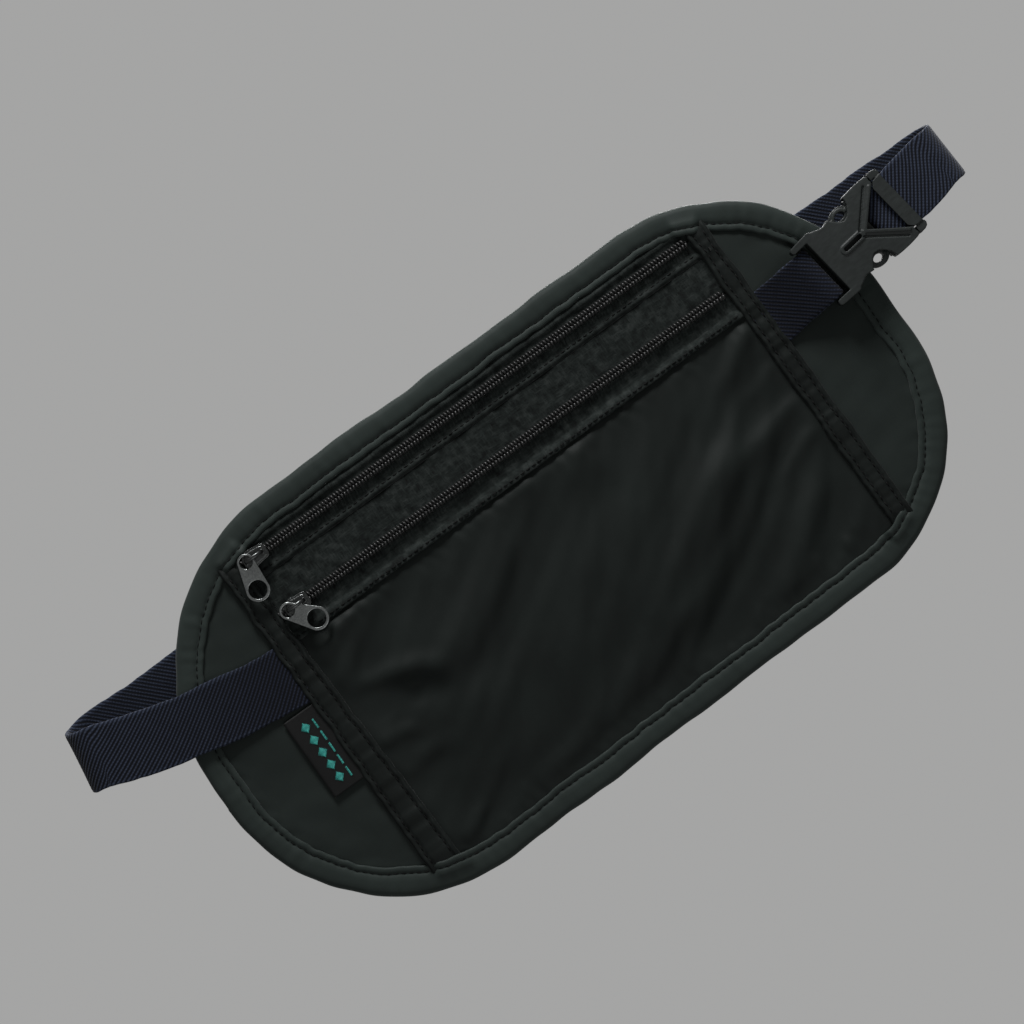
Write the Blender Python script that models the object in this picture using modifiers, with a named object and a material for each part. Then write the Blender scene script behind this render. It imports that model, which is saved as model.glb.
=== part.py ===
"""Money belt: a flat two-pocket nylon pouch on an elastic waist strap.

Lengths are written in millimetres and become metres where meshes are made.  The pouch
stands upright as it is worn: X runs along its long side, Z is up, and the front faces -Y.
The origin is the middle of the pouch's rear face, which lies against the waist.
Depths are y values, so a piece runs from its back (larger y) to its front (smaller y).
"""

import math

import bmesh
import bpy
from mathutils import Matrix, Vector

MM = 0.001
GAP = 0.3  # clearance left between pieces that touch

# Pouch outline: corners run anticlockwise seen from the front, each with its radius
POUCH_CORNERS = [(-145, -80), (145, -69.5), (145, 79), (-145, 74.5)]
POUCH_RADII = [70, 62, 64, 74]
ARC_STEPS = 12

# Layers of the pouch, from the waist side to the front
BACK_FIELD = (0.0, -1.3)
BACK_RIM = (-0.8, -1.3)
DIVIDER_RIM = -1.8
FRONT_SHEET = (-3.0, -3.4)
SHEET = 0.4
POCKET_GAP = 4.5
DIVIDER_CROWN = BACK_FIELD[1] - POCKET_GAP - SHEET / 2
FRONT_CROWN = DIVIDER_CROWN - POCKET_GAP - SHEET
CROWN_RISE = 24.0  # distance over which a pocket sheet rises from its sewn edge

# Edge binding: a folded tape around the whole rim
BINDING_WIDTH = 10.0
BINDING_BACK = (0.0, -0.5)
BINDING_FRONT = (-3.7, -4.5)
BINDING_WALL = 0.6
PANEL_INSET = BINDING_WALL + GAP

# Upright bands that cover the strap ends
BAND = (-3.7, -5.7)
LEFT_BAND = {"outer": (-100.5, -99.5), "inner": (-92.0, -87.5)}
RIGHT_BAND = {"inner": (99.5, 100.5), "outer": (107.3, 109.5)}
BAND_INSET = BINDING_WIDTH + GAP
TUCK = 5.0  # length of strap and tag held under a band
CORNER_REACH = 1.8  # room past a webbing end, whose lower corner reaches further when it slopes

# Zips
ZIP_TILT = math.radians(0.9)
ZIP_Z = {"upper": 60.7, "lower": 38.6}
ZIP_X = (-90.3, 99.0)
TAPE_X = (-94.5, 104.0)
TAPE_TOP = 70.0
TAPE_SEAM = 53.5
POCKET_HEM = 30.4
ZIP_SLIT = 1.0
COIL_HALF_WIDTH = 2.05
COIL = (-3.7, -5.3)

# Zip slider and pull tab, along the zip from the slider's middle
SLIDER_X = {"upper": -86.3, "lower": -84.0}
SLIDER_LENGTH = 9.6
SLIDER_HALF_WIDTH = 3.3
SLIDER_TOP = (-5.6, -6.6)
SLIDER_BACK = (-2.3, -2.7)
BAIL_X = -3.7
BAIL_TOP = (-9.0, -10.0)
PULL = (-6.9, -7.9)
PULL_LENGTH = 10.2  # between the centres of its two holes
PULL_RING = (3.1, 2.3)  # outer and hole radius at the slider
PULL_END = (4.3, 3.3)  # outer and hole radius at the free end
PULL_LEAN = {"upper": math.radians(-11), "lower": math.radians(41)}  # from hanging straight down

# Elastic webbing
WEBBING = 1.1
LEFT_WIDTH = 22.4
SHORT_WIDTH = 20.6
RIGHT_WIDTH = 21.4
STRAP_ON_PANEL = -4.25
BACK_RUN_Z = 38.0
LEFT_RUN_Y = 9.6
RIGHT_RUN_Y = 8.1
LAP = (0.0, 40.0)  # where the two halves of the strap lie on each other
LEFT_FOLD_LEAN = math.radians(9)
RIGHT_FOLD_LEAN = math.radians(-3)

# Side-release buckle, in its own frame: x along it, y as depth, z across it
BUCKLE_START = (127.0, -8.7, 26.0)
BUCKLE_TILT = math.radians(8.7)
BUCKLE_HALF_DEPTH = 3.7
CHANNEL_HALF_DEPTH = 2.5
FEMALE_MOUTH = 36.3
FEMALE_SIDE = [
    (0.2, 12.0), (2.5, 12.6), (7.5, 13.1), (10.5, 12.3), (13.5, 11.2), (16.5, 11.9), (20, 12.9),
    (25, 13.8), (31, 14.1), (35, 13.9),
]
SLOT_HALF = 10.9
SLOT_END = 5.8
FEMALE_BAR = (1.2, 3.3, 1.0)
CHANNEL_HALF = 10.9
MOUTH_HALF = 13.05
WINDOW = {"x": 21.0, "z": 13.4, "long": 4.1, "deep": 5.4}
NOTCH = [(23.5, 0.0), (36.8, -10.6), (36.8, 10.6)]
RAIL = (11.05, 12.75)
MALE_DEPTH = 2.1
MALE_BAR = (28.9, 30.9, 0.5)
CROSSBAR = (24.6, 26.6)
OUTER_BAR = (38.7, 40.5)
ARM_HINGE = (23.6, 9.1)
ARM_TIP = 14.0


def clear_scene():
    for old in list(bpy.data.objects):
        bpy.data.objects.remove(old, do_unlink=True)


def collection(name):
    made = bpy.data.collections.new(name)
    bpy.context.scene.collection.children.link(made)
    return made


def material(name, colour, roughness, metallic=0.0):
    made = bpy.data.materials.new(name)
    made.use_nodes = True
    shader = made.node_tree.nodes["Principled BSDF"]
    shader.inputs["Base Color"].default_value = (*colour, 1.0)
    shader.inputs["Roughness"].default_value = roughness
    shader.inputs["Metallic"].default_value = metallic
    return made


clear_scene()
PARTS = collection("money_belt")
CUTTERS = collection("cutters")
NYLON = material("nylon", (0.020, 0.023, 0.022), 0.55)
TAPE = material("zip_tape", (0.017, 0.019, 0.019), 0.85)
COIL_PLASTIC = material("zip_coil", (0.030, 0.034, 0.033), 0.40)
ELASTIC = material("elastic_webbing", (0.014, 0.015, 0.030), 0.80)
ACETAL = material("buckle_plastic", (0.045, 0.050, 0.048), 0.45)
METAL = material("zip_metal", (0.30, 0.31, 0.31), 0.30, 1.0)
TAG = material("woven_tag", (0.010, 0.014, 0.014), 0.70)


# ---------------------------------------------------------------- outlines

def inset_corners(corners, inset):
    """The corners of an anticlockwise convex polygon whose sides have moved inwards."""
    moved = []
    for i, corner in enumerate(corners):
        here = Vector(corner)
        before = (here - Vector(corners[i - 1])).normalized()
        after = (Vector(corners[(i + 1) % len(corners)]) - here).normalized()
        inward_before = Vector((-before.y, before.x))
        inward_after = Vector((-after.y, after.x))
        shift = (inward_before + inward_after) * inset / (1 + inward_before.dot(inward_after))
        moved.append(here + shift)
    return moved


def rounded(corners, radii, inset=0.0):
    """A convex polygon with each corner turned into an arc."""
    moved = inset_corners(corners, inset)
    outline = []
    for i, corner in enumerate(moved):
        radius = max(radii[i] - inset, 0.2)
        before = (moved[i - 1] - corner).normalized()
        after = (moved[(i + 1) % len(moved)] - corner).normalized()
        half_angle = before.angle(after) / 2
        centre = corner + (before + after).normalized() * radius / math.sin(half_angle)
        start = corner + before * radius / math.tan(half_angle) - centre
        sweep = math.pi - 2 * half_angle
        for step in range(ARC_STEPS + 1):
            turned = start.copy()
            turned.rotate(Matrix.Rotation(sweep * step / ARC_STEPS, 2))
            outline.append(tuple(centre + turned))
    return outline


def pouch_outline(inset=0.0):
    return rounded(POUCH_CORNERS, POUCH_RADII, inset)


def edge_height(outline, x, upper):
    """Height at which an outline crosses the upright line at x, on its upper or lower side."""
    heights = []
    for (x0, z0), (x1, z1) in zip(outline, outline[1:] + outline[:1]):
        if min(x0, x1) <= x <= max(x0, x1) and x0 != x1:
            heights.append(z0 + (z1 - z0) * (x - x0) / (x1 - x0))
    return max(heights) if upper else min(heights)


def side_of(outline, x, keep_left):
    """The part of an outline left or right of the upright line at x, closed along that line."""
    kept = []
    for (x0, z0), (x1, z1) in zip(outline, outline[1:] + outline[:1]):
        inside = (x0 < x) == keep_left
        if inside:
            kept.append((x0, z0))
        if (x0 < x) != (x1 < x):
            kept.append((x, z0 + (z1 - z0) * (x - x0) / (x1 - x0)))
    return kept


def circle(centre, radius, steps=24, stretch=1.0):
    points = []
    for step in range(steps):
        angle = 2 * math.pi * step / steps
        points.append((centre[0] + radius * math.cos(angle), centre[1] + stretch * radius * math.sin(angle)))
    return points


def box_outline(x0, x1, z0, z1):
    return [(x0, z0), (x1, z0), (x1, z1), (x0, z1)]


def tilted(outline):
    """An outline turned with the zips, about the pouch's middle."""
    c, s = math.cos(ZIP_TILT), math.sin(ZIP_TILT)
    return [(x * c - z * s, x * s + z * c) for x, z in outline]


def smooth_path(points, per_span=5):
    """Points of a Catmull-Rom curve through the given ones."""
    knots = [Vector(p) for p in points]
    knots = [2 * knots[0] - knots[1]] + knots + [2 * knots[-1] - knots[-2]]
    path = []
    for a, b, c, d in zip(knots, knots[1:], knots[2:], knots[3:]):
        for step in range(per_span):
            t = step / per_span
            bend = 2 * b + t * (c - a) + t * t * (2 * a - 5 * b + 4 * c - d)
            path.append(0.5 * (bend + t ** 3 * (3 * b - a - 3 * c + d)))
    path.append(knots[-2])
    return path


# ---------------------------------------------------------------- solids

def joint_frame(name, place, tilt=0.0, parent=None):
    """An empty on a joint's axis, turned about Y so that its x rises by tilt."""
    empty = bpy.data.objects.new(name, None)
    empty.parent = parent
    empty.location = Vector(place) * MM
    empty.rotation_euler = (0, -tilt, 0)
    PARTS.objects.link(empty)
    return empty


def plate(name, loops, depth, finish, frame=None):
    """A flat piece in the XZ plane between two depths; loops are its outline and its holes."""
    curve = bpy.data.curves.new(name, "CURVE")
    curve.dimensions = "2D"
    curve.fill_mode = "BOTH"
    curve.extrude = (depth[0] - depth[1]) / 2 * MM
    for loop in loops:
        spline = curve.splines.new("POLY")
        spline.points.add(len(loop) - 1)
        for point, (x, z) in zip(spline.points, loop):
            point.co = (x * MM, z * MM, 0, 1)
        spline.use_cyclic_u = True
    curve.materials.append(finish)
    made = bpy.data.objects.new(name, curve)
    made.location = (0, (depth[0] + depth[1]) / 2 * MM, 0)
    made.rotation_euler = (math.pi / 2, 0, 0)
    made.parent = frame
    PARTS.objects.link(made)
    return made


def as_mesh(curve_object):
    """The same piece as a welded mesh, so that it can be cut and joined."""
    bpy.context.view_layer.update()
    evaluated = curve_object.evaluated_get(bpy.context.evaluated_depsgraph_get())
    mesh = bpy.data.meshes.new_from_object(evaluated)
    shape = bmesh.new()
    shape.from_mesh(mesh)
    bmesh.ops.remove_doubles(shape, verts=shape.verts, dist=1e-6)
    shape.to_mesh(mesh)
    shape.free()
    name = curve_object.name
    curve_object.name = name + "_outline"
    made = bpy.data.objects.new(name, mesh)
    made.location = curve_object.location
    made.rotation_euler = curve_object.rotation_euler
    made.parent = curve_object.parent
    PARTS.objects.link(made)
    bpy.data.objects.remove(curve_object, do_unlink=True)
    return made


def solid(name, loops, depth, finish, frame=None):
    return as_mesh(plate(name, loops, depth, finish, frame))


def block(name, x, y, z, finish, frame=None):
    """A box between the given pairs of coordinates."""
    bpy.ops.mesh.primitive_cube_add(size=1)
    made = bpy.context.object
    made.name = name
    sides = [Vector((x[0], y[0], z[0])) * MM, Vector((x[1], y[1], z[1])) * MM]
    made.data.transform(Matrix.LocRotScale((sides[0] + sides[1]) / 2, None, sides[1] - sides[0]))
    made.data.materials.append(finish)
    made.parent = frame
    for holder in list(made.users_collection):
        holder.objects.unlink(made)
    PARTS.objects.link(made)
    return made


def tool(piece):
    """Puts a piece among the cutters, so that it only shapes others."""
    PARTS.objects.unlink(piece)
    CUTTERS.objects.link(piece)
    piece.hide_render = True
    piece.display_type = "WIRE"
    return piece


def combine(piece, operation, others):
    for other in others:
        tool(other)
        modifier = piece.modifiers.new(operation.lower() + "_" + other.name, "BOOLEAN")
        modifier.operation = operation
        modifier.object = other
        modifier.solver = "EXACT"
    return piece


def soften(piece, width, segments=2, angle=40):
    """Rounds the sharp edges of a moulded or cast piece."""
    modifier = piece.modifiers.new("soft_edges", "BEVEL")
    modifier.width = width * MM
    modifier.segments = segments
    modifier.limit_method = "ANGLE"
    modifier.angle_limit = math.radians(angle)
    modifier.use_clamp_overlap = True
    return piece


def thicken(piece, thickness):
    modifier = piece.modifiers.new("cloth_thickness", "SOLIDIFY")
    modifier.thickness = thickness * MM
    modifier.offset = 0
    return piece


def mesh_piece(name, shape, finish, frame=None):
    mesh = bpy.data.meshes.new(name)
    shape.to_mesh(mesh)
    shape.free()
    mesh.materials.append(finish)
    made = bpy.data.objects.new(name, mesh)
    made.parent = frame
    PARTS.objects.link(made)
    return made


def leaning(angle):
    """An upright direction in the pouch's plane that leans towards +X."""
    return Vector((math.sin(angle), 0, math.cos(angle)))


def ribbon(name, path, width, leans, frame=None):
    """Flat webbing along a path; its width lies square to the path and as upright as each lean."""
    shape = bmesh.new()
    bmesh.ops.create_grid(shape, x_segments=len(path) - 1, y_segments=1, size=1)
    columns = sorted(shape.verts, key=lambda v: (round(v.co.x, 4), v.co.y))
    for i, place in enumerate(path):
        along = (path[min(i + 1, len(path) - 1)] - path[max(i - 1, 0)]).normalized()
        upright = leaning(leans[i])
        across = (upright - upright.dot(along) * along).normalized() * width / 2
        columns[2 * i].co = (place - across) * MM
        columns[2 * i + 1].co = (place + across) * MM
    bmesh.ops.recalc_face_normals(shape, faces=shape.faces)
    return thicken(mesh_piece(name, shape, ELASTIC, frame), WEBBING)


# ---------------------------------------------------------------- pouch

def back_panel():
    """Soft rear wall: a field against the waist, and a thinner rim inside the binding."""
    rim = solid("back_panel", [pouch_outline(PANEL_INSET)], BACK_RIM, NYLON)
    field = solid("back_field", [pouch_outline(BINDING_WIDTH + GAP)], BACK_FIELD, NYLON)
    return combine(rim, "UNION", [field])


def side_panels():
    """The single-layer ears outside the bands."""
    outline = pouch_outline(PANEL_INSET)
    plate("left_side_panel", [side_of(outline, -96.5, True)], FRONT_SHEET, NYLON)
    plate("right_side_panel", [side_of(outline, 105.5, False)], FRONT_SHEET, NYLON)


def station(i, count, sewn, free):
    """The i-th of count + 1 places across a sheet: its ends are sewn, the rest lies in between."""
    if i == 0 or i == count:
        return sewn[0] if i == 0 else sewn[1]
    return free[0] + (free[1] - free[0]) * (i - 1) / (count - 2)


def pocket_sheet(name, hem, rim, crown, columns=18, rows=11):
    """A cloth sheet sewn at its four edges that stands forward in the middle."""
    outline = pouch_outline(PANEL_INSET)
    free_x = (LEFT_BAND["inner"][1] + 1, RIGHT_BAND["inner"][0] - 1)
    shape = bmesh.new()
    bmesh.ops.create_grid(shape, x_segments=columns, y_segments=rows, size=1)
    for vertex in shape.verts:
        column = round((vertex.co.x + 1) / 2 * columns)
        row = round((vertex.co.y + 1) / 2 * rows)
        x = station(column, columns, TAPE_X, free_x)
        top = hem + x * math.tan(ZIP_TILT)
        bottom = edge_height(outline, x, False)
        free_z = (bottom + BINDING_WIDTH, POCKET_HEM - 2 + x * math.tan(ZIP_TILT))
        z = station(row, rows, (bottom, top), free_z)
        rise = 1.0
        for distance in (x - free_x[0], free_x[1] - x, z - free_z[0], free_z[1] - z):
            part = min(max(distance / CROWN_RISE, 0), 1)
            rise *= part * part * (3 - 2 * part)
        vertex.co = Vector((x, rim + (crown - rim) * rise, z)) * MM
    return thicken(mesh_piece(name, shape, NYLON), SHEET)


def edge_binding():
    """A tape folded over the rim: a back leg, a front leg and the fold between them."""
    whole = solid("edge_binding", [pouch_outline(), pouch_outline(BINDING_WIDTH)],
                  (BINDING_BACK[0], BINDING_FRONT[1]), NYLON)
    inside = solid("binding_inside", [pouch_outline(BINDING_WALL), pouch_outline(BINDING_WIDTH + 2)],
                   (BINDING_BACK[1], BINDING_FRONT[0]), NYLON)
    return combine(whole, "DIFFERENCE", [inside])


def band(name, edges, first, second, held):
    """An upright folded strip, hollowed at the back for the webbing ends that it holds."""
    outline = pouch_outline(BAND_INSET)
    corners = []
    for key in (first, second):
        top_x, bottom_x = edges[key]
        top = (top_x, edge_height(outline, top_x, True))
        bottom = (bottom_x, edge_height(outline, bottom_x, False))
        corners.append((top, bottom))
    loop = [corners[0][0], corners[0][1], corners[1][1], corners[1][0]]
    strip = solid(name, [loop], BAND, NYLON)
    return combine(strip, "DIFFERENCE", held)


def bands():
    left_edge = LEFT_BAND["outer"][0]
    strap_room = block("left_strap_room", (left_edge - 4, left_edge + TUCK + CORNER_REACH),
                       (STRAP_ON_PANEL - WEBBING / 2 - GAP, BAND[0] + 1), (6.0, 30.4), NYLON)
    tag_room = block("tag_room", (left_edge - 4, left_edge + TUCK + 2 * GAP), (-4.9, BAND[0] + 1),
                     (-26.0, 7.2 - GAP), NYLON)
    band("left_band", LEFT_BAND, "outer", "inner", [strap_room, tag_room])
    right_edge = RIGHT_BAND["outer"][0]
    short_room = block("right_strap_room", (right_edge - TUCK - CORNER_REACH, right_edge + 5),
                       (STRAP_ON_PANEL - WEBBING / 2 - 2 * GAP, BAND[0] + 1), (12.8, 35.0), NYLON)
    band("right_band", RIGHT_BAND, "inner", "outer", [short_room])


def label_tag():
    """A folded tag, sewn in under the left band."""
    left_edge = LEFT_BAND["outer"][0]
    loop = box_outline(left_edge - 11.5, left_edge + TUCK, -25.0, 6.2)
    plate("label_tag", [loop], (BAND[0], -4.6), TAG)


# ---------------------------------------------------------------- zips

def zip_tapes():
    half = ZIP_SLIT / 2
    edges = {
        "zip_upper_tape_top": (ZIP_Z["upper"] + half, TAPE_TOP),
        "zip_upper_tape_bottom": (TAPE_SEAM + GAP / 2, ZIP_Z["upper"] - half),
        "zip_lower_tape_top": (ZIP_Z["lower"] + half, TAPE_SEAM - GAP / 2),
        "zip_lower_tape_bottom": (POCKET_HEM + GAP, ZIP_Z["lower"] - half),
    }
    for name, (low, high) in edges.items():
        plate(name, [tilted(box_outline(*TAPE_X, low, high))], FRONT_SHEET, TAPE)


def zip_coils():
    """Each zip's two rows of teeth, as bars of the coil's outer size."""
    for zip_name, height in ZIP_Z.items():
        for side, sign in (("top", 1), ("bottom", -1)):
            near, far = height + sign * ZIP_SLIT / 2, height + sign * COIL_HALF_WIDTH
            loop = tilted(box_outline(*ZIP_X, min(near, far), max(near, far)))
            bar = solid("zip_" + zip_name + "_coil_" + side, [loop], COIL, COIL_PLASTIC)
            soften(bar, 0.35, 1)


def slider(name, zip_name):
    """Metal slider: top plate with side walls, a web through the slit, a back plate and the bail."""
    x = SLIDER_X[zip_name]
    place = (x, 0, ZIP_Z[zip_name] + x * math.tan(ZIP_TILT))
    frame = joint_frame(name + "_axis", place, ZIP_TILT)
    half = SLIDER_LENGTH / 2
    wide = SLIDER_HALF_WIDTH
    shield = [(-half + 0.8, -wide + 0.6), (-half + 3.4, -wide), (half - 0.6, -wide + 0.5), (half, -1.6),
              (half, 1.6), (half - 0.6, wide - 0.5), (-half + 3.4, wide), (-half + 0.8, wide - 0.6),
              (-half, 1.4), (-half, -1.4)]
    body = solid(name, [shield], SLIDER_TOP, METAL, frame)
    joined = []
    inner = COIL_HALF_WIDTH + GAP
    for side in (-1, 1):
        walls = sorted((side * inner, side * (wide - 0.2)))
        joined.append(block(f"{name}_wall{side}", (-2.6, half - 1.2), (COIL[0], SLIDER_TOP[0] - 0.3), walls,
                            METAL, frame))
    joined.append(block(name + "_web", (-3.4, -1.2), (SLIDER_BACK[1] + 0.2, SLIDER_TOP[0] - 0.3), (-0.2, 0.2),
                        METAL, frame))
    joined.append(block(name + "_back", (-half + 0.8, half - 1.2), SLIDER_BACK, (-2.6, 2.6), METAL, frame))
    bail_end = -BAIL_X - 0.8
    for number, leg in enumerate((BAIL_X, bail_end)):
        joined.append(block(f"{name}_leg{number}", (leg - 0.6, leg + 0.6), (SLIDER_TOP[1] + 0.3, BAIL_TOP[1] + 0.2),
                            (-0.8, 0.8), METAL, frame))
    joined.append(block(name + "_bail", (BAIL_X - 0.8, bail_end + 0.8), BAIL_TOP, (-0.9, 0.9), METAL, frame))
    combine(body, "UNION", joined)
    return frame


def teardrop(small, large, length):
    """Outline around a small circle at the origin and a larger one straight below it."""
    slope = math.asin((large - small) / length)
    points = []
    for step in range(13):
        angle = slope * -1 + (math.pi + 2 * slope) * step / 12
        points.append((small * math.cos(angle), small * math.sin(angle)))
    for step in range(17):
        angle = math.pi + slope + (math.pi - 2 * slope) * step / 16
        points.append((large * math.cos(angle), -length + large * math.sin(angle)))
    return points


def pull(name, zip_name, slider_frame):
    """Teardrop pull tab, hung by its ring on the bail's leg."""
    lean = PULL_LEAN[zip_name] - ZIP_TILT
    frame = joint_frame(name + "_axis", (BAIL_X, 0, 0), lean, slider_frame)
    loops = [teardrop(PULL_RING[0], PULL_END[0], PULL_LENGTH), circle((0, 0), PULL_RING[1], 20),
             circle((0, -PULL_LENGTH), PULL_END[1], 24)]
    plate(name, loops, PULL, METAL, frame)


# ---------------------------------------------------------------- straps

def half_turn(centre, reach, depth, heights, steps=14):
    """Half an ellipse in plan from the front to the back, climbing between two heights."""
    path = []
    for step in range(steps + 1):
        angle = math.pi * (step / steps - 0.5)
        height = heights[0] + (heights[1] - heights[0]) * step / steps
        path.append(Vector((centre[0] + reach * math.cos(angle), centre[1] + depth * math.sin(angle), height)))
    return path


def strap_left():
    """From under the left band round the left bend and behind the pouch."""
    front = smooth_path([(LEFT_BAND["outer"][0] + TUCK, STRAP_ON_PANEL, 17.9), (-100.5, STRAP_ON_PANEL, 18.4),
                         (-113, -4.6, 19.8), (-128, -5.7, 22.4), (-146, -6.6, 26.2), (-160, -6.8, 30.3),
                         (-170, -6.4, 33.8)])
    middle = (LEFT_RUN_Y - 6.4) / 2
    bend = half_turn((-170, middle), -8.2, LEFT_RUN_Y - middle, (33.8, BACK_RUN_Z))
    run = smooth_path([(-160, LEFT_RUN_Y, BACK_RUN_Z), (LAP[1], LEFT_RUN_Y, BACK_RUN_Z)], 8)
    path = front + bend[1:] + run
    ribbon("strap_left", path, LEFT_WIDTH, [LEFT_FOLD_LEAN] * len(path))


def on_buckle(x, y):
    """World place of a point on the buckle's centre line, x along it and y off its middle plane."""
    start = Vector(BUCKLE_START)
    return start + Vector((x * math.cos(BUCKLE_TILT), y, x * math.sin(BUCKLE_TILT)))


def strap_short():
    """Doubled webbing from under the right band round the buckle's bar and back."""
    radius = FEMALE_BAR[2] + GAP + 0.1 + WEBBING / 2
    turn_x = 2.9
    edge = RIGHT_BAND["outer"][0]
    bar_front = on_buckle(turn_x, -radius)
    front = smooth_path([(edge - TUCK, STRAP_ON_PANEL, 23.5), (edge + 0.6, STRAP_ON_PANEL, 24.0),
                         (113, -5.5, 24.6), (120, -8.2, 25.4), (126, -10.3, 26.0), bar_front], 4)
    turn = [on_buckle(turn_x + radius * math.cos(a), radius * math.sin(a))
            for a in (math.pi * (step / 8 - 0.5) for step in range(1, 9))]
    rear = smooth_path([on_buckle(1.0, radius), (124, -6.2, 25.8), (118.5, -5.3, 25.2)], 4)
    path = front + turn + rear
    ribbon("strap_short", path, SHORT_WIDTH, [-BUCKLE_TILT] * len(path))


def strap_adjustable(frame):
    """From behind the pouch round the right fold, under the outer bar, round the inner bar, to its tail."""
    radius = MALE_BAR[2] + 2 * GAP - 0.1 + WEBBING / 2
    turn_x = MALE_BAR[0] + 0.5
    run = smooth_path([(LAP[0], RIGHT_RUN_Y, BACK_RUN_Z), (174, RIGHT_RUN_Y, BACK_RUN_Z)], 8)
    middle = (RIGHT_RUN_Y - 9.4) / 2
    bend = half_turn((183.6, middle), 7.6, RIGHT_RUN_Y - middle, (35.7, BACK_RUN_Z))
    front = smooth_path([(177, -10.2, 34.1), (171, -10.3, 32.9), on_buckle(40, -radius), on_buckle(36, -radius),
                         on_buckle(turn_x, -radius)], 3)
    turn = [on_buckle(turn_x - radius * math.cos(a), radius * math.sin(a))
            for a in (math.pi * (step / 8 - 0.5) for step in range(1, 9))]
    tail = smooth_path([on_buckle(32, radius), on_buckle(38, radius), (172, -7.9, 33.1), (181, -7.6, 35.0)], 3)
    behind = run + bend[::-1]
    clipped = front + turn + tail
    leans = [RIGHT_FOLD_LEAN] * len(behind) + [-BUCKLE_TILT] * len(clipped)
    strap = ribbon("strap_adjustable", behind + clipped, RIGHT_WIDTH, leans, frame)
    strap.matrix_parent_inverse = frame_world(frame).inverted()


def frame_world(frame):
    bpy.context.view_layer.update()
    return frame.matrix_world.copy()


# ---------------------------------------------------------------- buckle

def mirrored_outline(side):
    """An outline from its upper side, repeated below the centre line."""
    return [(x, -z) for x, z in side] + [(x, z) for x, z in reversed(side)]


def buckle_female(frame):
    """Housing with the webbing bar, the channel for the prongs, side windows and a notched front."""
    side = [tuple(p) for p in smooth_path([Vector(p) for p in FEMALE_SIDE], 2)]
    outer = mirrored_outline(side + [(FEMALE_MOUTH, 12.9)])
    slot = [(-1, SLOT_HALF), (SLOT_END, SLOT_HALF), (SLOT_END, -SLOT_HALF), (-1, -SLOT_HALF)]
    depth = (BUCKLE_HALF_DEPTH, -BUCKLE_HALF_DEPTH)
    channel_depth = (CHANNEL_HALF_DEPTH, -CHANNEL_HALF_DEPTH)
    body = solid("buckle_female", [outer], depth, ACETAL, frame)
    slot_cut = solid("webbing_slot", [slot], (5, -5), ACETAL, frame)
    prong_room = [(9.5, -CHANNEL_HALF), (24.3, -CHANNEL_HALF), (24.3, -MOUTH_HALF), (38, -MOUTH_HALF),
                  (38, MOUTH_HALF), (24.3, MOUTH_HALF), (24.3, CHANNEL_HALF), (9.5, CHANNEL_HALF)]
    channel = solid("channel", [prong_room], channel_depth, ACETAL, frame)
    windows = []
    for sign in (-1, 1):
        ring = circle((WINDOW["x"], sign * WINDOW["z"]), WINDOW["long"], 24, WINDOW["deep"] / WINDOW["long"])
        windows.append(solid(f"window{sign}", [ring], (5, -5), ACETAL, frame))
    notch = solid("front_notch", [NOTCH], (-2, -5), ACETAL, frame)
    oval = rounded([(13.3, -0.7), (21.2, -0.7), (21.2, 0.7), (13.3, 0.7)], [0.69] * 4)
    centre_slot = solid("centre_slot", [oval], (-2, -5), ACETAL, frame)
    combine(body, "DIFFERENCE", [slot_cut, channel, *windows, notch, centre_slot])
    low, high, half = FEMALE_BAR
    bar = block("female_bar", (low, high), (-half, half), (-SLOT_HALF - 0.8, SLOT_HALF + 0.8), ACETAL, frame)
    combine(body, "UNION", [bar])


def buckle_male(frame):
    """Plug frame: side rails, crossbar with its guide tongue, the inner bar and the outer bar."""
    depth = (MALE_DEPTH, -MALE_DEPTH)
    rails = [(CROSSBAR[0], -RAIL[1]), (OUTER_BAR[1], -RAIL[1]), (OUTER_BAR[1], -RAIL[0]),
             (CROSSBAR[1], -RAIL[0]), (CROSSBAR[1], RAIL[0]), (OUTER_BAR[1], RAIL[0]),
             (OUTER_BAR[1], RAIL[1]), (CROSSBAR[0], RAIL[1])]
    body = solid("buckle_male", [rails], depth, ACETAL, frame)
    joined = []
    low, high, half = MALE_BAR
    joined.append(block("inner_bar", (low, high), (-half, half), (-RAIL[0] - 0.8, RAIL[0] + 0.8), ACETAL, frame))
    for sign in (-1, 1):
        side = sorted((sign * RAIL[0], sign * (RAIL[1] + 0.15)))
        joined.append(block(f"flange{sign}", (FEMALE_MOUTH + 0.6, OUTER_BAR[1]), (-3.4, 2.6), side, ACETAL, frame))
    joined.append(block("outer_bar", OUTER_BAR, (-3.4, -2.4), (-RAIL[0] - 0.5, RAIL[0] + 0.5), ACETAL, frame))
    joined.append(block("tongue", (13.5, CROSSBAR[0] + 0.5), (-1.6, 1.6), (-2.4, 2.4), ACETAL, frame))
    combine(body, "UNION", joined)


def latch_arm(name, sign, buckle_frame):
    """A prong that is squeezed inwards through the side window."""
    x, z = ARM_HINGE
    frame = joint_frame(name + "_axis", (x, 0, sign * z), 0.0, buckle_frame)
    tip = ARM_TIP - x
    side = [(0.7, -1.5), (0.7, 1.5), (-3.0, 1.5), (tip + 1.6, 1.5), (tip, 0.2), (tip, -1.4), (tip + 1.5, -2.4),
            (tip + 3.4, -1.5)]
    loop = [(a, sign * b) for a, b in side]
    plate(name, [loop], (MALE_DEPTH, -MALE_DEPTH), ACETAL, frame)


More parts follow.
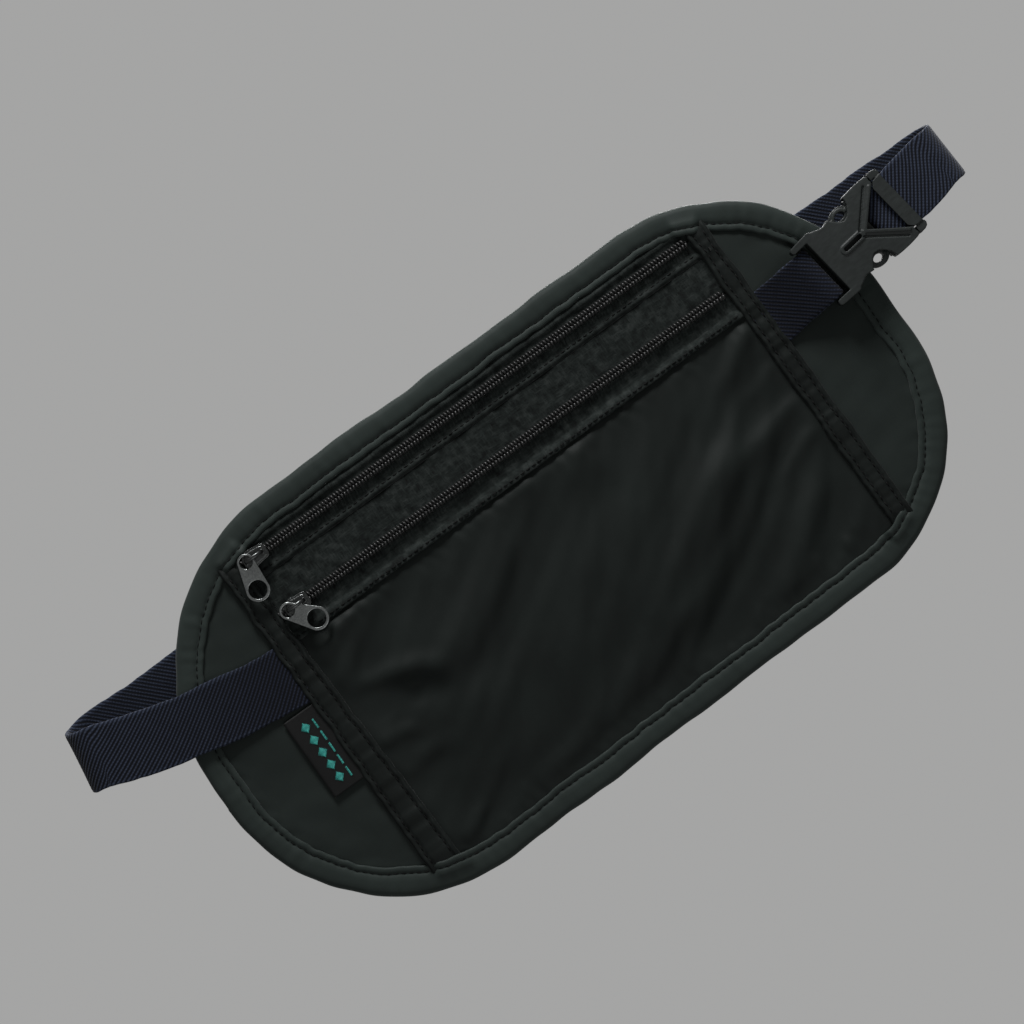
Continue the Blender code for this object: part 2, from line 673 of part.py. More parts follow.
back_panel()
side_panels()
pocket_sheet("pocket_divider", TAPE_SEAM - 1.0, DIVIDER_RIM, DIVIDER_CROWN)
pocket_sheet("front_panel", POCKET_HEM, sum(FRONT_SHEET) / 2, FRONT_CROWN)
edge_binding()
bands()
label_tag()
zip_tapes()
zip_coils()
for zip_name in ZIP_Z:
    slider_frame = slider("slider_" + zip_name, zip_name)
    pull("pull_tab_" + zip_name, zip_name, slider_frame)
strap_left()
strap_short()
female_frame = joint_frame("buckle_female_axis", BUCKLE_START, BUCKLE_TILT)
male_frame = joint_frame("buckle_male_axis", BUCKLE_START, BUCKLE_TILT)
buckle_female(female_frame)
buckle_male(male_frame)
for arm, sign in (("latch_arm_upper", 1), ("latch_arm_lower", -1)):
    latch_arm(arm, sign, male_frame)
strap_adjustable(male_frame)
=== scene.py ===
"""Looks of the money belt: cloth, webbing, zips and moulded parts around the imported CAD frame.

Lengths are in millimetres unless a name says otherwise and become metres in add_mesh().
X runs along the pouch, Z is up as worn, and the front of the pouch faces -Y.
"""
import math

import bmesh
import bpy
import numpy as np
from mathutils import Matrix, Vector


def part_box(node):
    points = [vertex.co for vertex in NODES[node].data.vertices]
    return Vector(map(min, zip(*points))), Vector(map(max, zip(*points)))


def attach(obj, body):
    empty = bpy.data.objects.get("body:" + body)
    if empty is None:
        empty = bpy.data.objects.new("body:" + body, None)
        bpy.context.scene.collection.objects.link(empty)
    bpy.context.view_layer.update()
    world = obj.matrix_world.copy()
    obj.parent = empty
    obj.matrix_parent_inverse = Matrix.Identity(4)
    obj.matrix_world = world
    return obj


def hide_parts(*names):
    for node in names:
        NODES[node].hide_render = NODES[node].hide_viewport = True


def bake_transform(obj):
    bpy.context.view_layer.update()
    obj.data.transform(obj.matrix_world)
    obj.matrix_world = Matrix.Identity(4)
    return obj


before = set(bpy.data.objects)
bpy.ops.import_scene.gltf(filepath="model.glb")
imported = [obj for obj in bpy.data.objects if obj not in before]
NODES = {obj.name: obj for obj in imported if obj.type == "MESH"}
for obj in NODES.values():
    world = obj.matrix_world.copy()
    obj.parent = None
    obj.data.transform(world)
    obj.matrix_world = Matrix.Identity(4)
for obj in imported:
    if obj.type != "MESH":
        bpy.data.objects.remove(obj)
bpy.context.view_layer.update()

MM = 0.001

# The pouch outline, as in the CAD: corners seen from the front and their radii
POUCH_CORNERS = [(-145, -80), (145, -69.5), (145, 79), (-145, 74.5)]
POUCH_RADII = [70, 62, 64, 74]
BINDING_WIDTH = 10.0
BINDING_SEAM = 7.75  # distance of the binding's stitches from the rim
CLOTH_EDGE = 3.0  # the panels end this far inside the outline, under the binding
SHEET = 0.4

# Each band's edges, as (x at its top, x at its bottom), and the seams that hold the bands
LEFT_BAND = {"outer": (-100.5, -99.5), "inner": (-92.0, -87.5)}
RIGHT_BAND = {"inner": (99.5, 100.5), "outer": (107.3, 109.5)}
BAND_SEAMS = (-98, -91, 101.5, 107)

ZIP_TILT = math.radians(0.9)
ZIP_Z = {"upper": 60.7, "lower": 38.6}
COIL_X = (-91.0, 99.6)
TAPE_X = (-94.5, 104.0)
TAPE_SEAM = 53.5
POCKET_HEM = 30.4
TOOTH_PITCH = 1.25
THREAD_STEP = 2.5  # length of one stitch of the thread that holds a coil
SLIDER_X = {"upper": -86.3, "lower": -84.0}

WEBBING = 1.1
RIB_PITCH = 1.27
STITCH_PITCH = 2.7

SIMULATED_FRAMES = 18
CLOTH_TRAVEL = 2.2  # about the furthest that the simulation may move the cloth
CLOTH_EXCESS = 0.010  # share by which the front panel is cut larger than its place
FOLD_HEIGHT = 1.45  # raises all the placed folds together
PANEL_BACK = -2.85  # the front panel stays ahead of this depth
PANEL_EASE = 0.35  # distance over which it is eased to a stop there

LEFT_STRAP_WIDTH = 22.4
RIGHT_STRAP_WIDTH = 21.4
SHORT_STRAP_WIDTH = 20.6
BUCKLE_START = (127.0, -8.7, 26.0)
BUCKLE_TILT = math.radians(8.7)

NYLON_TINT = (0.80, 1.09, 0.99)
ACETAL_TINT = (0.88, 1.07, 1.04)
METAL_TINT = (0.96, 1.01, 1.0)

CAMERA_ROLL = math.radians(35.2)


# ---------------------------------------------------------------- outline of the pouch

def rounded(corners, radii, steps=48):
    """A convex polygon with each corner turned into an arc."""
    outline = []
    for i, corner in enumerate(corners):
        here = Vector(corner)
        before = (Vector(corners[i - 1]) - here).normalized()
        after = (Vector(corners[(i + 1) % len(corners)]) - here).normalized()
        half_angle = before.angle(after) / 2
        centre = here + (before + after).normalized() * radii[i] / math.sin(half_angle)
        start = here + before * radii[i] / math.tan(half_angle) - centre
        sweep = math.pi - 2 * half_angle
        for step in range(steps + 1):
            turned = start.copy()
            turned.rotate(Matrix.Rotation(sweep * step / steps, 2))
            outline.append(tuple(centre + turned))
    return np.array(outline)


OUTLINE = rounded(POUCH_CORNERS, POUCH_RADII)


def rim_stations(spacing):
    """Evenly spaced points round the outline, their inward directions, and the length round it."""
    closed = np.vstack([OUTLINE, OUTLINE[:1]])
    steps = np.linalg.norm(np.diff(closed, axis=0), axis=1)
    length = np.concatenate([[0], np.cumsum(steps)])
    count = int(length[-1] / spacing)
    places = np.arange(count) * length[-1] / count
    points = np.stack([np.interp(places, length, closed[:, k]) for k in (0, 1)], axis=1)
    along = np.roll(points, -2, axis=0) - np.roll(points, 2, axis=0)
    along /= np.linalg.norm(along, axis=1)[:, None]
    return points, np.stack([-along[:, 1], along[:, 0]], axis=1), places


def inset_depth(x, z):
    """How far each point lies inside the outline, and the inward direction of the nearest side."""
    ends = np.roll(OUTLINE, -1, axis=0)
    side = ends - OUTLINE
    size = np.linalg.norm(side, axis=1)
    kept = size > 1e-6
    side, start = side[kept] / size[kept][:, None], OUTLINE[kept]
    inward = np.stack([-side[:, 1], side[:, 0]], axis=1)
    depths = (x[:, None] - start[:, 0]) * inward[:, 0] + (z[:, None] - start[:, 1]) * inward[:, 1]
    nearest = np.argmin(depths, axis=1)
    return depths[np.arange(len(x)), nearest], inward[nearest]


def edge_height(x, inset, upper):
    """Height of the outline, moved inwards by inset, above or below each x."""
    heights = np.linspace(0, 85, 1701) if upper else -np.linspace(0, 85, 1701)
    found = []
    for place in np.atleast_1d(x):
        depth, _ = inset_depth(np.full(len(heights), float(place)), heights)
        inside = np.nonzero(depth >= inset)[0]
        found.append(heights[inside[-1]] if len(inside) else 0.0)
    return np.array(found)


# ---------------------------------------------------------------- shapes and noise

def smooth(value):
    """A smooth step from 0 to 1."""
    part = np.clip(value, 0, 1)
    return part * part * (3 - 2 * part)


def bump(value, centre, width):
    """A bell of height 1 round the centre."""
    return np.exp(-((value - centre) / width) ** 2)


def ripples(x, z, length, seed, heading=0.0, spread=math.pi, count=14):
    """Soft uneven waves of about unit height; heading is the direction across the crests."""
    random = np.random.default_rng(seed)
    total = np.zeros_like(x, dtype=float)
    for _ in range(count):
        angle = heading + random.uniform(-spread, spread)
        number = 2 * math.pi / (length * random.uniform(0.6, 1.8))
        across = (x * math.cos(angle) + z * math.sin(angle)) * number
        total += np.sin(across + random.uniform(0, 2 * math.pi))
    return total / math.sqrt(count / 2)


def line_ripples(along, length, seed):
    """Ripples along one line."""
    return ripples(along, along * 0, length, seed)


def stitch_dimples(along):
    """0 at the stitch holes of a row and 1 between them."""
    return 0.5 - 0.5 * np.cos(2 * math.pi * along / STITCH_PITCH)


def crease(x, z, start, end, bow, width, height, skew):
    """A cloth fold from start to end, bowed sideways: a ridge with a shallower hollow beside it."""
    ax, az = start
    dx, dz = end[0] - ax, end[1] - az
    length = math.hypot(dx, dz)
    along = ((x - ax) * dx + (z - az) * dz) / length ** 2
    across = ((x - ax) * -dz + (z - az) * dx) / length
    across = across - bow * 4 * np.clip(along, 0, 1) * np.clip(1 - along, 0, 1)
    fade = smooth(along / 0.25) * smooth((1 - along) / 0.35)
    ridge = np.exp(-(across / width) ** 2) - skew * np.exp(-((across + 1.7 * width) / (1.3 * width)) ** 2)
    return height * fade * ridge


def catmull(points, per_span=8):
    """Points of a smooth curve through the given ones."""
    knots = [Vector(p) for p in points]
    knots = [2 * knots[0] - knots[1]] + knots + [2 * knots[-1] - knots[-2]]
    path = []
    for a, b, c, d in zip(knots, knots[1:], knots[2:], knots[3:]):
        for step in range(per_span):
            t = step / per_span
            bend = 2 * b + t * (c - a) + t * t * (2 * a - 5 * b + 4 * c - d)
            path.append(0.5 * (bend + t ** 3 * (3 * b - a - 3 * c + d)))
    path.append(knots[-2])
    return path


def resampled(path, spacing):
    """A path as an array of evenly spaced points."""
    points = np.array([tuple(p) for p in path], float)
    steps = np.linalg.norm(np.diff(points, axis=0), axis=1)
    length = np.concatenate([[0], np.cumsum(steps)])
    count = max(int(length[-1] / spacing), 2)
    places = np.linspace(0, length[-1], count + 1)
    return np.stack([np.interp(places, length, points[:, k]) for k in range(3)], axis=1), places


def softened(values, passes):
    """Rows of points eased towards their neighbours, with the ends kept."""
    for _ in range(passes):
        values[1:-1] = values[1:-1] * 0.5 + (values[:-2] + values[2:]) * 0.25
    return values


# ---------------------------------------------------------------- meshes

def link(name, data):
    """A new object in the scene."""
    made = bpy.data.objects.new(name, data)
    bpy.context.scene.collection.objects.link(made)
    return made


def add_mesh(name, points, faces, finish, uvs=None):
    """A smooth-shaded mesh object; points are in millimetres."""
    mesh = bpy.data.meshes.new(name)
    mesh.from_pydata((np.asarray(points, float) * MM).tolist(), [], [list(f) for f in faces])
    if uvs is not None:
        layer = mesh.uv_layers.new(name="cloth")
        corners = np.empty(len(mesh.loops), np.int32)
        mesh.loops.foreach_get("vertex_index", corners)
        layer.data.foreach_set("uv", np.asarray(uvs, np.float32)[corners].ravel())
    mesh.shade_smooth()
    mesh.materials.append(finish)
    mesh.update()
    return link(name, mesh)


def settle(piece, body, slot, *nodes):
    """Says which body a piece moves with and hides the CAD nodes that it stands for; slot, its finish, is not
    used.
    """
    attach(piece, body)
    if nodes:
        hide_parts(*nodes)
    return piece


def grid_faces(rows, columns, wrap_rows=False, wrap_columns=False, flip=False):
    """Quads between rows and columns of points numbered row by row."""
    r = np.arange(rows if wrap_rows else rows - 1)
    c = np.arange(columns if wrap_columns else columns - 1)
    r, c = np.meshgrid(r, c, indexing="ij")
    r, c = r.ravel(), c.ravel()
    down, right = (r + 1) % rows, (c + 1) % columns
    corners = [r * columns + c, down * columns + c, down * columns + right, r * columns + right]
    quads = np.stack(corners, axis=1)
    return quads[:, ::-1] if flip else quads


def add_sheet(name, x, y, z, finish):
    """A sheet through a grid of points, facing forwards."""
    return add_mesh(name, np.stack([x, y, z], axis=2).reshape(-1, 3), grid_faces(*x.shape, flip=True), finish)


def face_outwards(piece):
    """Turns every face of a closed mesh outwards."""
    shape = bmesh.new()
    shape.from_mesh(piece.data)
    bmesh.ops.recalc_face_normals(shape, faces=shape.faces)
    shape.to_mesh(piece.data)
    shape.free()
    return piece


def apply_modifiers(piece):
    """Replaces a piece's mesh by the mesh that its modifiers make."""
    bpy.context.view_layer.update()
    evaluated = piece.evaluated_get(bpy.context.evaluated_depsgraph_get())
    mesh = bpy.data.meshes.new_from_object(evaluated)
    piece.modifiers.clear()
    piece.data = mesh
    return piece


def thicken(piece, thickness=SHEET):
    """Gives a sheet its thickness, half to each side."""
    modifier = piece.modifiers.new("cloth_thickness", "SOLIDIFY")
    modifier.thickness = thickness * MM
    modifier.offset = 0.0
    return apply_modifiers(piece)


def clipped_grid(x_range, z_range, spacing, inset=CLOTH_EDGE):
    """Points and quads of a sheet inside the outline, its border drawn onto the inset outline."""
    xs = np.linspace(*x_range, int((x_range[1] - x_range[0]) / spacing) + 1)
    zs = np.linspace(*z_range, int((z_range[1] - z_range[0]) / spacing) + 1)
    x, z = (part.ravel() for part in np.meshgrid(xs, zs, indexing="ij"))
    depth, inward = inset_depth(x, z)
    near = (depth < inset) & (depth > inset - spacing)
    x = np.where(near, x + inward[:, 0] * (inset - depth), x)
    z = np.where(near, z + inward[:, 1] * (inset - depth), z)
    kept = depth > inset - spacing
    faces = grid_faces(len(xs), len(zs), flip=True)
    faces = faces[kept[faces].all(axis=1)]
    used = np.unique(faces)
    number = np.full(len(x), -1)
    number[used] = np.arange(len(used))
    return x[used], z[used], np.maximum(depth[used], inset), number[faces]


def swept(name, sections, finish, closed, uvs=None):
    """A skin through rows of points; each row is a closed loop round the piece."""
    rows, columns = sections.shape[:2]
    faces = [tuple(f) for f in grid_faces(rows, columns, wrap_rows=closed, wrap_columns=True)]
    if not closed:
        faces.append(tuple(range(columns)))
        faces.append(tuple((rows - 1) * columns + c for c in reversed(range(columns))))
    return face_outwards(add_mesh(name, sections.reshape(-1, 3), faces, finish, uvs))


def capsules(name, pieces, finish, sides=6, cuts=5):
    """Short round threads joined as one mesh; each is (start, middle, end, radius)."""
    points, faces = [], []
    turns = np.arange(sides) * 2 * math.pi / sides
    for start, middle, end, radius in pieces:
        start, middle, end = (np.array(p, float) for p in (start, middle, end))
        along = end - start
        along /= np.linalg.norm(along) + 1e-9
        helper = np.array([0.0, 1.0, 0.0]) if abs(along[1]) < 0.9 else np.array([1.0, 0.0, 0.0])
        side = np.cross(along, helper)
        side /= np.linalg.norm(side)
        up = np.cross(side, along)
        first = len(points)
        for cut in range(cuts):
            t = cut / (cuts - 1)
            centre = (1 - t) ** 2 * start + 2 * t * (1 - t) * middle + t * t * end
            size = radius * (0.45 if cut in (0, cuts - 1) else 1.0)
            for turn in turns:
                points.append(centre + size * (math.cos(turn) * side + math.sin(turn) * up))
        faces.extend((grid_faces(cuts, sides, wrap_columns=True) + first).tolist())
        faces.append([first + k for k in range(sides)])
        faces.append([first + (cuts - 1) * sides + k for k in reversed(range(sides))])
    return face_outwards(add_mesh(name, points, faces, finish))


def stitch_row(path, pitch=STITCH_PITCH, radius=0.2, front=-1.0, sink=0.25):
    """The stitches of one row along a path: each lies on the cloth and dips into it at both ends."""
    points, _ = resampled(path, pitch / 2)
    row = []
    for i in range(0, len(points) - 2, 2):
        start, end = points[i], points[i + 2]
        gap = (end - start) * 0.14
        lift = np.array([0.0, front * (radius * 1.6 + sink), 0.0])
        row.append((start + gap, points[i + 1] + lift, end - gap, radius))
    return row


# ---------------------------------------------------------------- materials

class Shader:
    """A Principled material and short ways to add nodes to it."""

    def __init__(self, name, colour, roughness, metallic=0.0, specular=0.25, sheen=0.0):
        self.material = bpy.data.materials.new(name)
        self.material.use_nodes = True
        self.tree = self.material.node_tree
        self.main = self.tree.nodes["Principled BSDF"]
        values = {"Base Color": (*colour, 1), "Roughness": roughness, "Metallic": metallic,
                  "Specular IOR Level": specular, "Sheen Weight": sheen, "Sheen Roughness": 0.45}
        for name_of_input, value in values.items():
            self.main.inputs[name_of_input].default_value = value

    def node(self, kind, inputs=None, **settings):
        """A new node; each input is given a value, or the output that feeds it."""
        made = self.tree.nodes.new("ShaderNode" + kind)
        for key, value in settings.items():
            setattr(made, key, value)
        for key, value in (inputs or {}).items():
            if isinstance(value, bpy.types.NodeSocket):
                self.tree.links.new(value, made.inputs[key])
            else:
                made.inputs[key].default_value = value
        return made

    def math(self, operation, first, second=0.0):
        return self.node("Math", {0: first, 1: second}, operation=operation).outputs[0]

    def space(self, scale=(1000, 1000, 1000), turn=0.0):
        """Object coordinates in millimetres, stretched and turned about Y."""
        place = self.node("TexCoord").outputs["Object"]
        return self.node("Mapping", {"Vector": place, "Rotation": (0, turn, 0), "Scale": scale}).outputs[0]

    def noise(self, place, scale, detail=3.0, roughness=0.55):
        inputs = {"Vector": place, "Scale": scale, "Detail": detail, "Roughness": roughness}
        return self.node("TexNoise", inputs).outputs["Fac"]

    def bands(self, place, direction, period, distortion=0.0):
        """Sine bands of the given period, in the units of place."""
        inputs = {"Vector": place, "Scale": 2 * math.pi / (20 * period), "Distortion": distortion,
                  "Detail": 1.0, "Detail Scale": 0.4}
        made = self.node("TexWave", inputs, wave_type="BANDS", bands_direction=direction, wave_profile="SIN")
        return made.outputs["Fac"]

    def ramp(self, factor, stops):
        made = self.node("ValToRGB", {"Fac": factor})
        ramp = made.color_ramp
        while len(ramp.elements) < len(stops):
            ramp.elements.new(0.5)
        for element, (place, colour) in zip(ramp.elements, stops):
            element.position = place
            element.color = (*colour, 1)
        return made.outputs["Color"]

    def colour(self, factor, stops):
        self.tree.links.new(self.ramp(factor, stops), self.main.inputs["Base Color"])

    def rough(self, factor, low, high):
        made = self.node("MapRange", {"Value": factor, "To Min": low, "To Max": high})
        self.tree.links.new(made.outputs["Result"], self.main.inputs["Roughness"])

    def bump(self, *layers):
        """Bumps from (height, strength, depth in millimetres) layers, coarse first."""
        normal = None
        for height, strength, depth in layers:
            inputs = {"Strength": strength, "Distance": depth * MM, "Height": height}
            if normal is not None:
                inputs["Normal"] = normal
            normal = self.node("Bump", inputs).outputs["Normal"]
        self.tree.links.new(normal, self.main.inputs["Normal"])


def shade(value, tint=(1.0, 1.0, 1.0)):
    """A grey of the given value, tinted."""
    return tuple(value * t for t in tint)


def woven_nylon(name, dark, light, sheen, thread=0.42):
    """Fine plain weave with cloudy unevenness and a faint slub along both thread directions."""
    look = Shader(name, shade(light, NYLON_TINT), 0.6, specular=0.07, sheen=sheen)
    place = look.space()
    warp = look.bands(place, "X", thread)
    weft = look.bands(place, "Z", thread)
    weave = look.math("MULTIPLY", warp, weft)
    slub_x = look.noise(look.space((120, 1000, 2600)), 1.0, 2.0)
    slub_z = look.noise(look.space((2600, 1000, 120)), 1.0, 2.0)
    slub = look.math("ADD", slub_x, slub_z)
    cloud = look.noise(look.space((45, 45, 45)), 1.0, 4.0)
    mixed = look.math("ADD", look.math("MULTIPLY", cloud, 0.75), look.math("MULTIPLY", slub, 0.14))
    look.colour(mixed, [(0.25, shade(dark, NYLON_TINT)), (0.8, shade(light, NYLON_TINT))])
    look.rough(mixed, 0.5, 0.72)
    look.bump((cloud, 0.5, 0.25), (slub, 0.35, 0.08), (weave, 0.45, 0.05))
    return look.material


def zip_tape_cloth():
    """Matte knitted polyester tape: a coarse herringbone with a fuzzy, mottled face."""
    look = Shader("zip_tape_cloth", shade(0.010), 0.92, specular=0.06, sheen=0.06)
    rising = look.noise(look.space((330, 1000, 1900), math.radians(42)), 1.0, 2.0)
    falling = look.noise(look.space((1900, 1000, 330), math.radians(48)), 1.0, 2.0)
    knit = look.math("MAXIMUM", rising, falling)
    fuzz = look.noise(look.space(), 1.7, 4.0, 0.7)
    mottle = look.noise(look.space(), 0.35, 3.0)
    mixed = look.math("ADD", look.math("MULTIPLY", knit, 0.45), look.math("MULTIPLY", mottle, 0.55))
    look.colour(mixed, [(0.34, shade(0.0012)), (0.50, shade(0.0056, (0.80, 1.08, 1.0))),
                        (0.70, shade(0.0150, (0.9, 1.05, 1.0)))])
    look.bump((mottle, 0.5, 0.35), (knit, 0.7, 0.22), (fuzz, 0.6, 0.12))
    return look.material


def elastic_cloth():
    """Twill elastic: slanted ribs of covered rubber threads, read from the strap's own lengths."""
    look = Shader("elastic_cloth", shade(0.008), 0.82, specular=0.08, sheen=0.05)
    lengths = look.node("UVMap", uv_map="cloth").outputs[0]
    place = look.node("Mapping", {"Vector": lengths, "Scale": (1000, 1000, 1000)}).outputs[0]
    parts = look.node("SeparateXYZ", {0: place})
    along, sideways = parts.outputs[0], parts.outputs[1]
    slant = look.math("MULTIPLY", look.math("ADD", along, sideways), 0.7071)
    counter_slant = look.math("MULTIPLY", look.math("SUBTRACT", along, sideways), 0.7071)
    lane = look.node("CombineXYZ", {0: slant}).outputs[0]
    cross_lane = look.node("CombineXYZ", {0: counter_slant, 1: slant}).outputs[0]
    line = look.bands(lane, "X", RIB_PITCH, 1.0)
    knuckle = look.bands(cross_lane, "X", 1.06, 2.2)
    rib = look.math("MULTIPLY", line, look.math("ADD", look.math("MULTIPLY", knuckle, 0.28), 0.72))
    across = look.bands(place, "X", 0.46)
    fuzz = look.noise(place, 1.9, 4.0, 0.7)
    mottle = look.noise(place, 0.22, 3.0)
    mixed = look.math("ADD", look.math("MULTIPLY", rib, 0.80), look.math("MULTIPLY", mottle, 0.20))
    # the colour is darker towards the start of each strap, and a painted highlight lightens its two edges
    darker_towards_start = look.node("MapRange", {"Value": along, "From Min": 10.0, "From Max": 80.0,
                                   "To Min": 0.62, "To Max": 1.0})
    painted_edge_highlight = look.node("MapRange", {"Value": look.math("ABSOLUTE", sideways), "From Min": 9.7,
                                     "From Max": 10.4, "To Min": 0.0, "To Max": 0.22})
    mixed = look.math("MULTIPLY", look.math("ADD", mixed, painted_edge_highlight.outputs[0]), darker_towards_start.outputs[0])
    look.colour(mixed, [(0.14, (0.0003, 0.0004, 0.0011)), (0.46, (0.0034, 0.0048, 0.0100)),
                        (0.84, (0.0160, 0.0205, 0.0330))])
    look.bump((rib, 0.55, 0.22), (across, 0.3, 0.08), (fuzz, 0.45, 0.09))
    return look.material


def moulded_acetal():
    """Black moulded plastic: satin, finely grained, with faint scuffs."""
    look = Shader("moulded_acetal", shade(0.010), 0.5, specular=0.16)
    grain = look.noise(look.space(), 4.5, 3.0, 0.6)
    wear = look.noise(look.space((300, 300, 900)), 1.0, 4.0, 0.65)
    look.colour(wear, [(0.3, shade(0.007, ACETAL_TINT)), (0.75, shade(0.012, ACETAL_TINT))])
    look.rough(wear, 0.44, 0.62)
    look.bump((grain, 0.25, 0.03))
    return look.material


def gunmetal(name, dark, light):
    """Black-nickel plated zinc with a fine orange peel and brushed handling marks."""
    look = Shader(name, shade(light), 0.32, metallic=1.0, specular=0.5)
    peel = look.noise(look.space(), 2.2, 3.0)
    marks = look.noise(look.space((500, 500, 6000)), 1.0, 3.0)
    look.colour(peel, [(0.3, shade(dark, METAL_TINT)), (0.75, shade(light, METAL_TINT))])
    look.rough(marks, 0.24, 0.44)
    look.bump((peel, 0.25, 0.04), (marks, 0.15, 0.01))
    return look.material


def coil_plastic():
    """Black polyester filament with a dull shine."""
    look = Shader("coil_plastic", shade(0.012), 0.42, specular=0.17)
    tone = look.noise(look.space(), 0.9, 2.0)
    look.colour(tone, [(0.3, shade(0.007)), (0.8, shade(0.014))])
    look.rough(tone, 0.3, 0.48)
    look.bump((look.noise(look.space(), 6.0, 2.0), 0.2, 0.02))
    return look.material


def sewing_thread():
    """Black twisted thread."""
    look = Shader("sewing_thread", shade(0.002), 0.7, specular=0.06)
    ply = look.bands(look.space(turn=math.radians(35)), "X", 0.32)
    look.colour(ply, [(0.2, shade(0.001)), (0.9, shade(0.0035))])
    look.bump((ply, 0.5, 0.05))
    return look.material


def tag_cloth():
    """Satin-woven label: fine weft lines across a near-black ground."""
    look = Shader("tag_cloth", shade(0.003), 0.6, specular=0.1, sheen=0.03)
    weft = look.bands(look.space(), "Z", 0.3)
    warp = look.bands(look.space(), "X", 0.5)
    mixed = look.math("MULTIPLY", weft, warp)
    look.colour(mixed, [(0.1, shade(0.0015)), (0.9, shade(0.004, (0.9, 1.05, 1.05)))])
    look.bump((weft, 0.5, 0.05), (warp, 0.3, 0.03))
    return look.material


def teal_thread():
    """Teal embroidery thread."""
    look = Shader("teal_thread", (0.02, 0.26, 0.22), 0.55, specular=0.2, sheen=0.05)
    ply = look.bands(look.space(), "Z", 0.3)
    look.colour(ply, [(0.1, (0.009, 0.11, 0.10)), (0.9, (0.024, 0.24, 0.205))])
    look.bump((ply, 0.5, 0.05))
    return look.material


NYLON = woven_nylon("nylon_cloth", 0.0062, 0.0105, 0.03)
PANEL_NYLON = woven_nylon("panel_cloth", 0.0030, 0.0062, 0.02)
BAND_NYLON = woven_nylon("band_cloth", 0.0024, 0.0052, 0.015)
BINDING = woven_nylon("binding_cloth", 0.0092, 0.0150, 0.04, thread=0.5)
TAPE_CLOTH = zip_tape_cloth()
ELASTIC = elastic_cloth()
ACETAL = moulded_acetal()
CAST_METAL = gunmetal("cast_gunmetal", 0.028, 0.060)
METAL = gunmetal("gunmetal", 0.10, 0.18)
COIL = coil_plastic()
THREAD = sewing_thread()
TAG = tag_cloth()
TEAL = teal_thread()


# ---------------------------------------------------------------- pouch cloth

def band_bulge(x, z):
    """How much the binding lifts where the ends of the bands pass under it."""
    lift = np.zeros_like(x)
    for edges in (LEFT_BAND, RIGHT_BAND):
        (top_a, low_a), (top_b, low_b) = sorted(edges.values())
        middle = np.where(z > 0, (top_a + top_b) / 2, (low_a + low_b) / 2)
        half = np.where(z > 0, (top_b - top_a) / 2, (low_b - low_a) / 2)
        lift = np.maximum(lift, smooth((half + 2.6 - np.abs(x - middle)) / 3.2))
    return lift


def edge_binding():
    """Tape folded over the rim: flat legs, a rolled inner hem beyond the stitches, small puckers."""
    points, inward, length = rim_stations(0.55)
    # section from the front inner edge round the fold to the back inner edge: (inset, depth)
    front = [(9.95, -3.62), (10.15, -3.9), (10.0, -4.25), (9.4, -4.42), (8.75, -4.40), (8.2, -4.22),
             (7.75, -3.92), (7.25, -4.18), (6.5, -4.5), (5.2, -4.62), (3.6, -4.62), (2.2, -4.5),
             (1.1, -4.15), (0.4, -3.5), (0.05, -2.75)]
    back = [(0.0, -2.1), (0.1, -1.35), (0.55, -0.62), (1.4, -0.18), (3.0, -0.02), (5.2, 0.0), (6.8, -0.06),
            (7.4, -0.22), (7.75, -0.38), (8.2, -0.22), (8.9, -0.05), (9.6, -0.04), (10.1, -0.2),
            (10.1, -0.55)]
    inside = [(9.6, -0.72), (6.0, -0.68), (1.8, -0.75), (0.75, -1.4), (0.65, -2.2), (0.8, -3.0), (1.8, -3.55),
              (6.0, -3.62)]
    section = np.array(front + back + inside)
    count = len(section)
    x, z = points[:, 0], points[:, 1]
    # the folded tape cockles a little between the stitches, and its free edge wanders
    edge = 0.16 * line_ripples(length, 17, 5) + 0.10 * line_ripples(length, 6, 6)
    rim = 0.22 * line_ripples(length, 46, 7) + 0.10 * line_ripples(length, 15, 8)
    swell = 0.5 * line_ripples(length, 11, 9) + 0.5 * line_ripples(length, 5, 10)
    dimple = stitch_dimples(length)
    lift = band_bulge(x, z)
    rows = np.zeros((len(points), count, 3))
    for k, (inset, depth) in enumerate(section):
        share = inset / BINDING_WIDTH
        at = inset + edge * smooth((share - 0.3) / 0.5) + rim * (1 - share)
        y = np.full(len(points), depth)
        middle = math.exp(-((share - 0.4) / 0.28) ** 2)
        seam = math.exp(-((inset - BINDING_SEAM) / 0.45) ** 2)
        if k < len(front):
            y -= swell * 0.08 * middle + 0.07 * swell * smooth(share)
            y += seam * 0.16 * dimple
            y -= lift * 1.25 * smooth((share - 0.35) / 0.35)
        elif k < len(front) + len(back):
            y += -np.abs(swell) * 0.05 * middle - seam * 0.12 * dimple
        rows[:, k, 0] = x + inward[:, 0] * at
        rows[:, k, 1] = y
        rows[:, k, 2] = z + inward[:, 1] * at
    piece = swept("edge_binding_tape", rows, BINDING, True)
    settle(piece, "root", "binding_fabric", "edge_binding")
    where = BINDING_SEAM + edge * smooth((0.775 - 0.3) / 0.5) + rim * 0.225
    seam_x, seam_z = x + inward[:, 0] * where, z + inward[:, 1] * where
    front_row = np.stack([seam_x, -3.86 - 0.07 * swell - lift * 1.25, seam_z], axis=1)
    back_row = np.stack([seam_x, np.full(len(x), -0.42), seam_z], axis=1)
    stitches = stitch_row(front_row, sink=0.0) + stitch_row(back_row, front=1.0, sink=0.02)
    settle(capsules("binding_stitches", stitches, THREAD), "root", "binding_fabric")


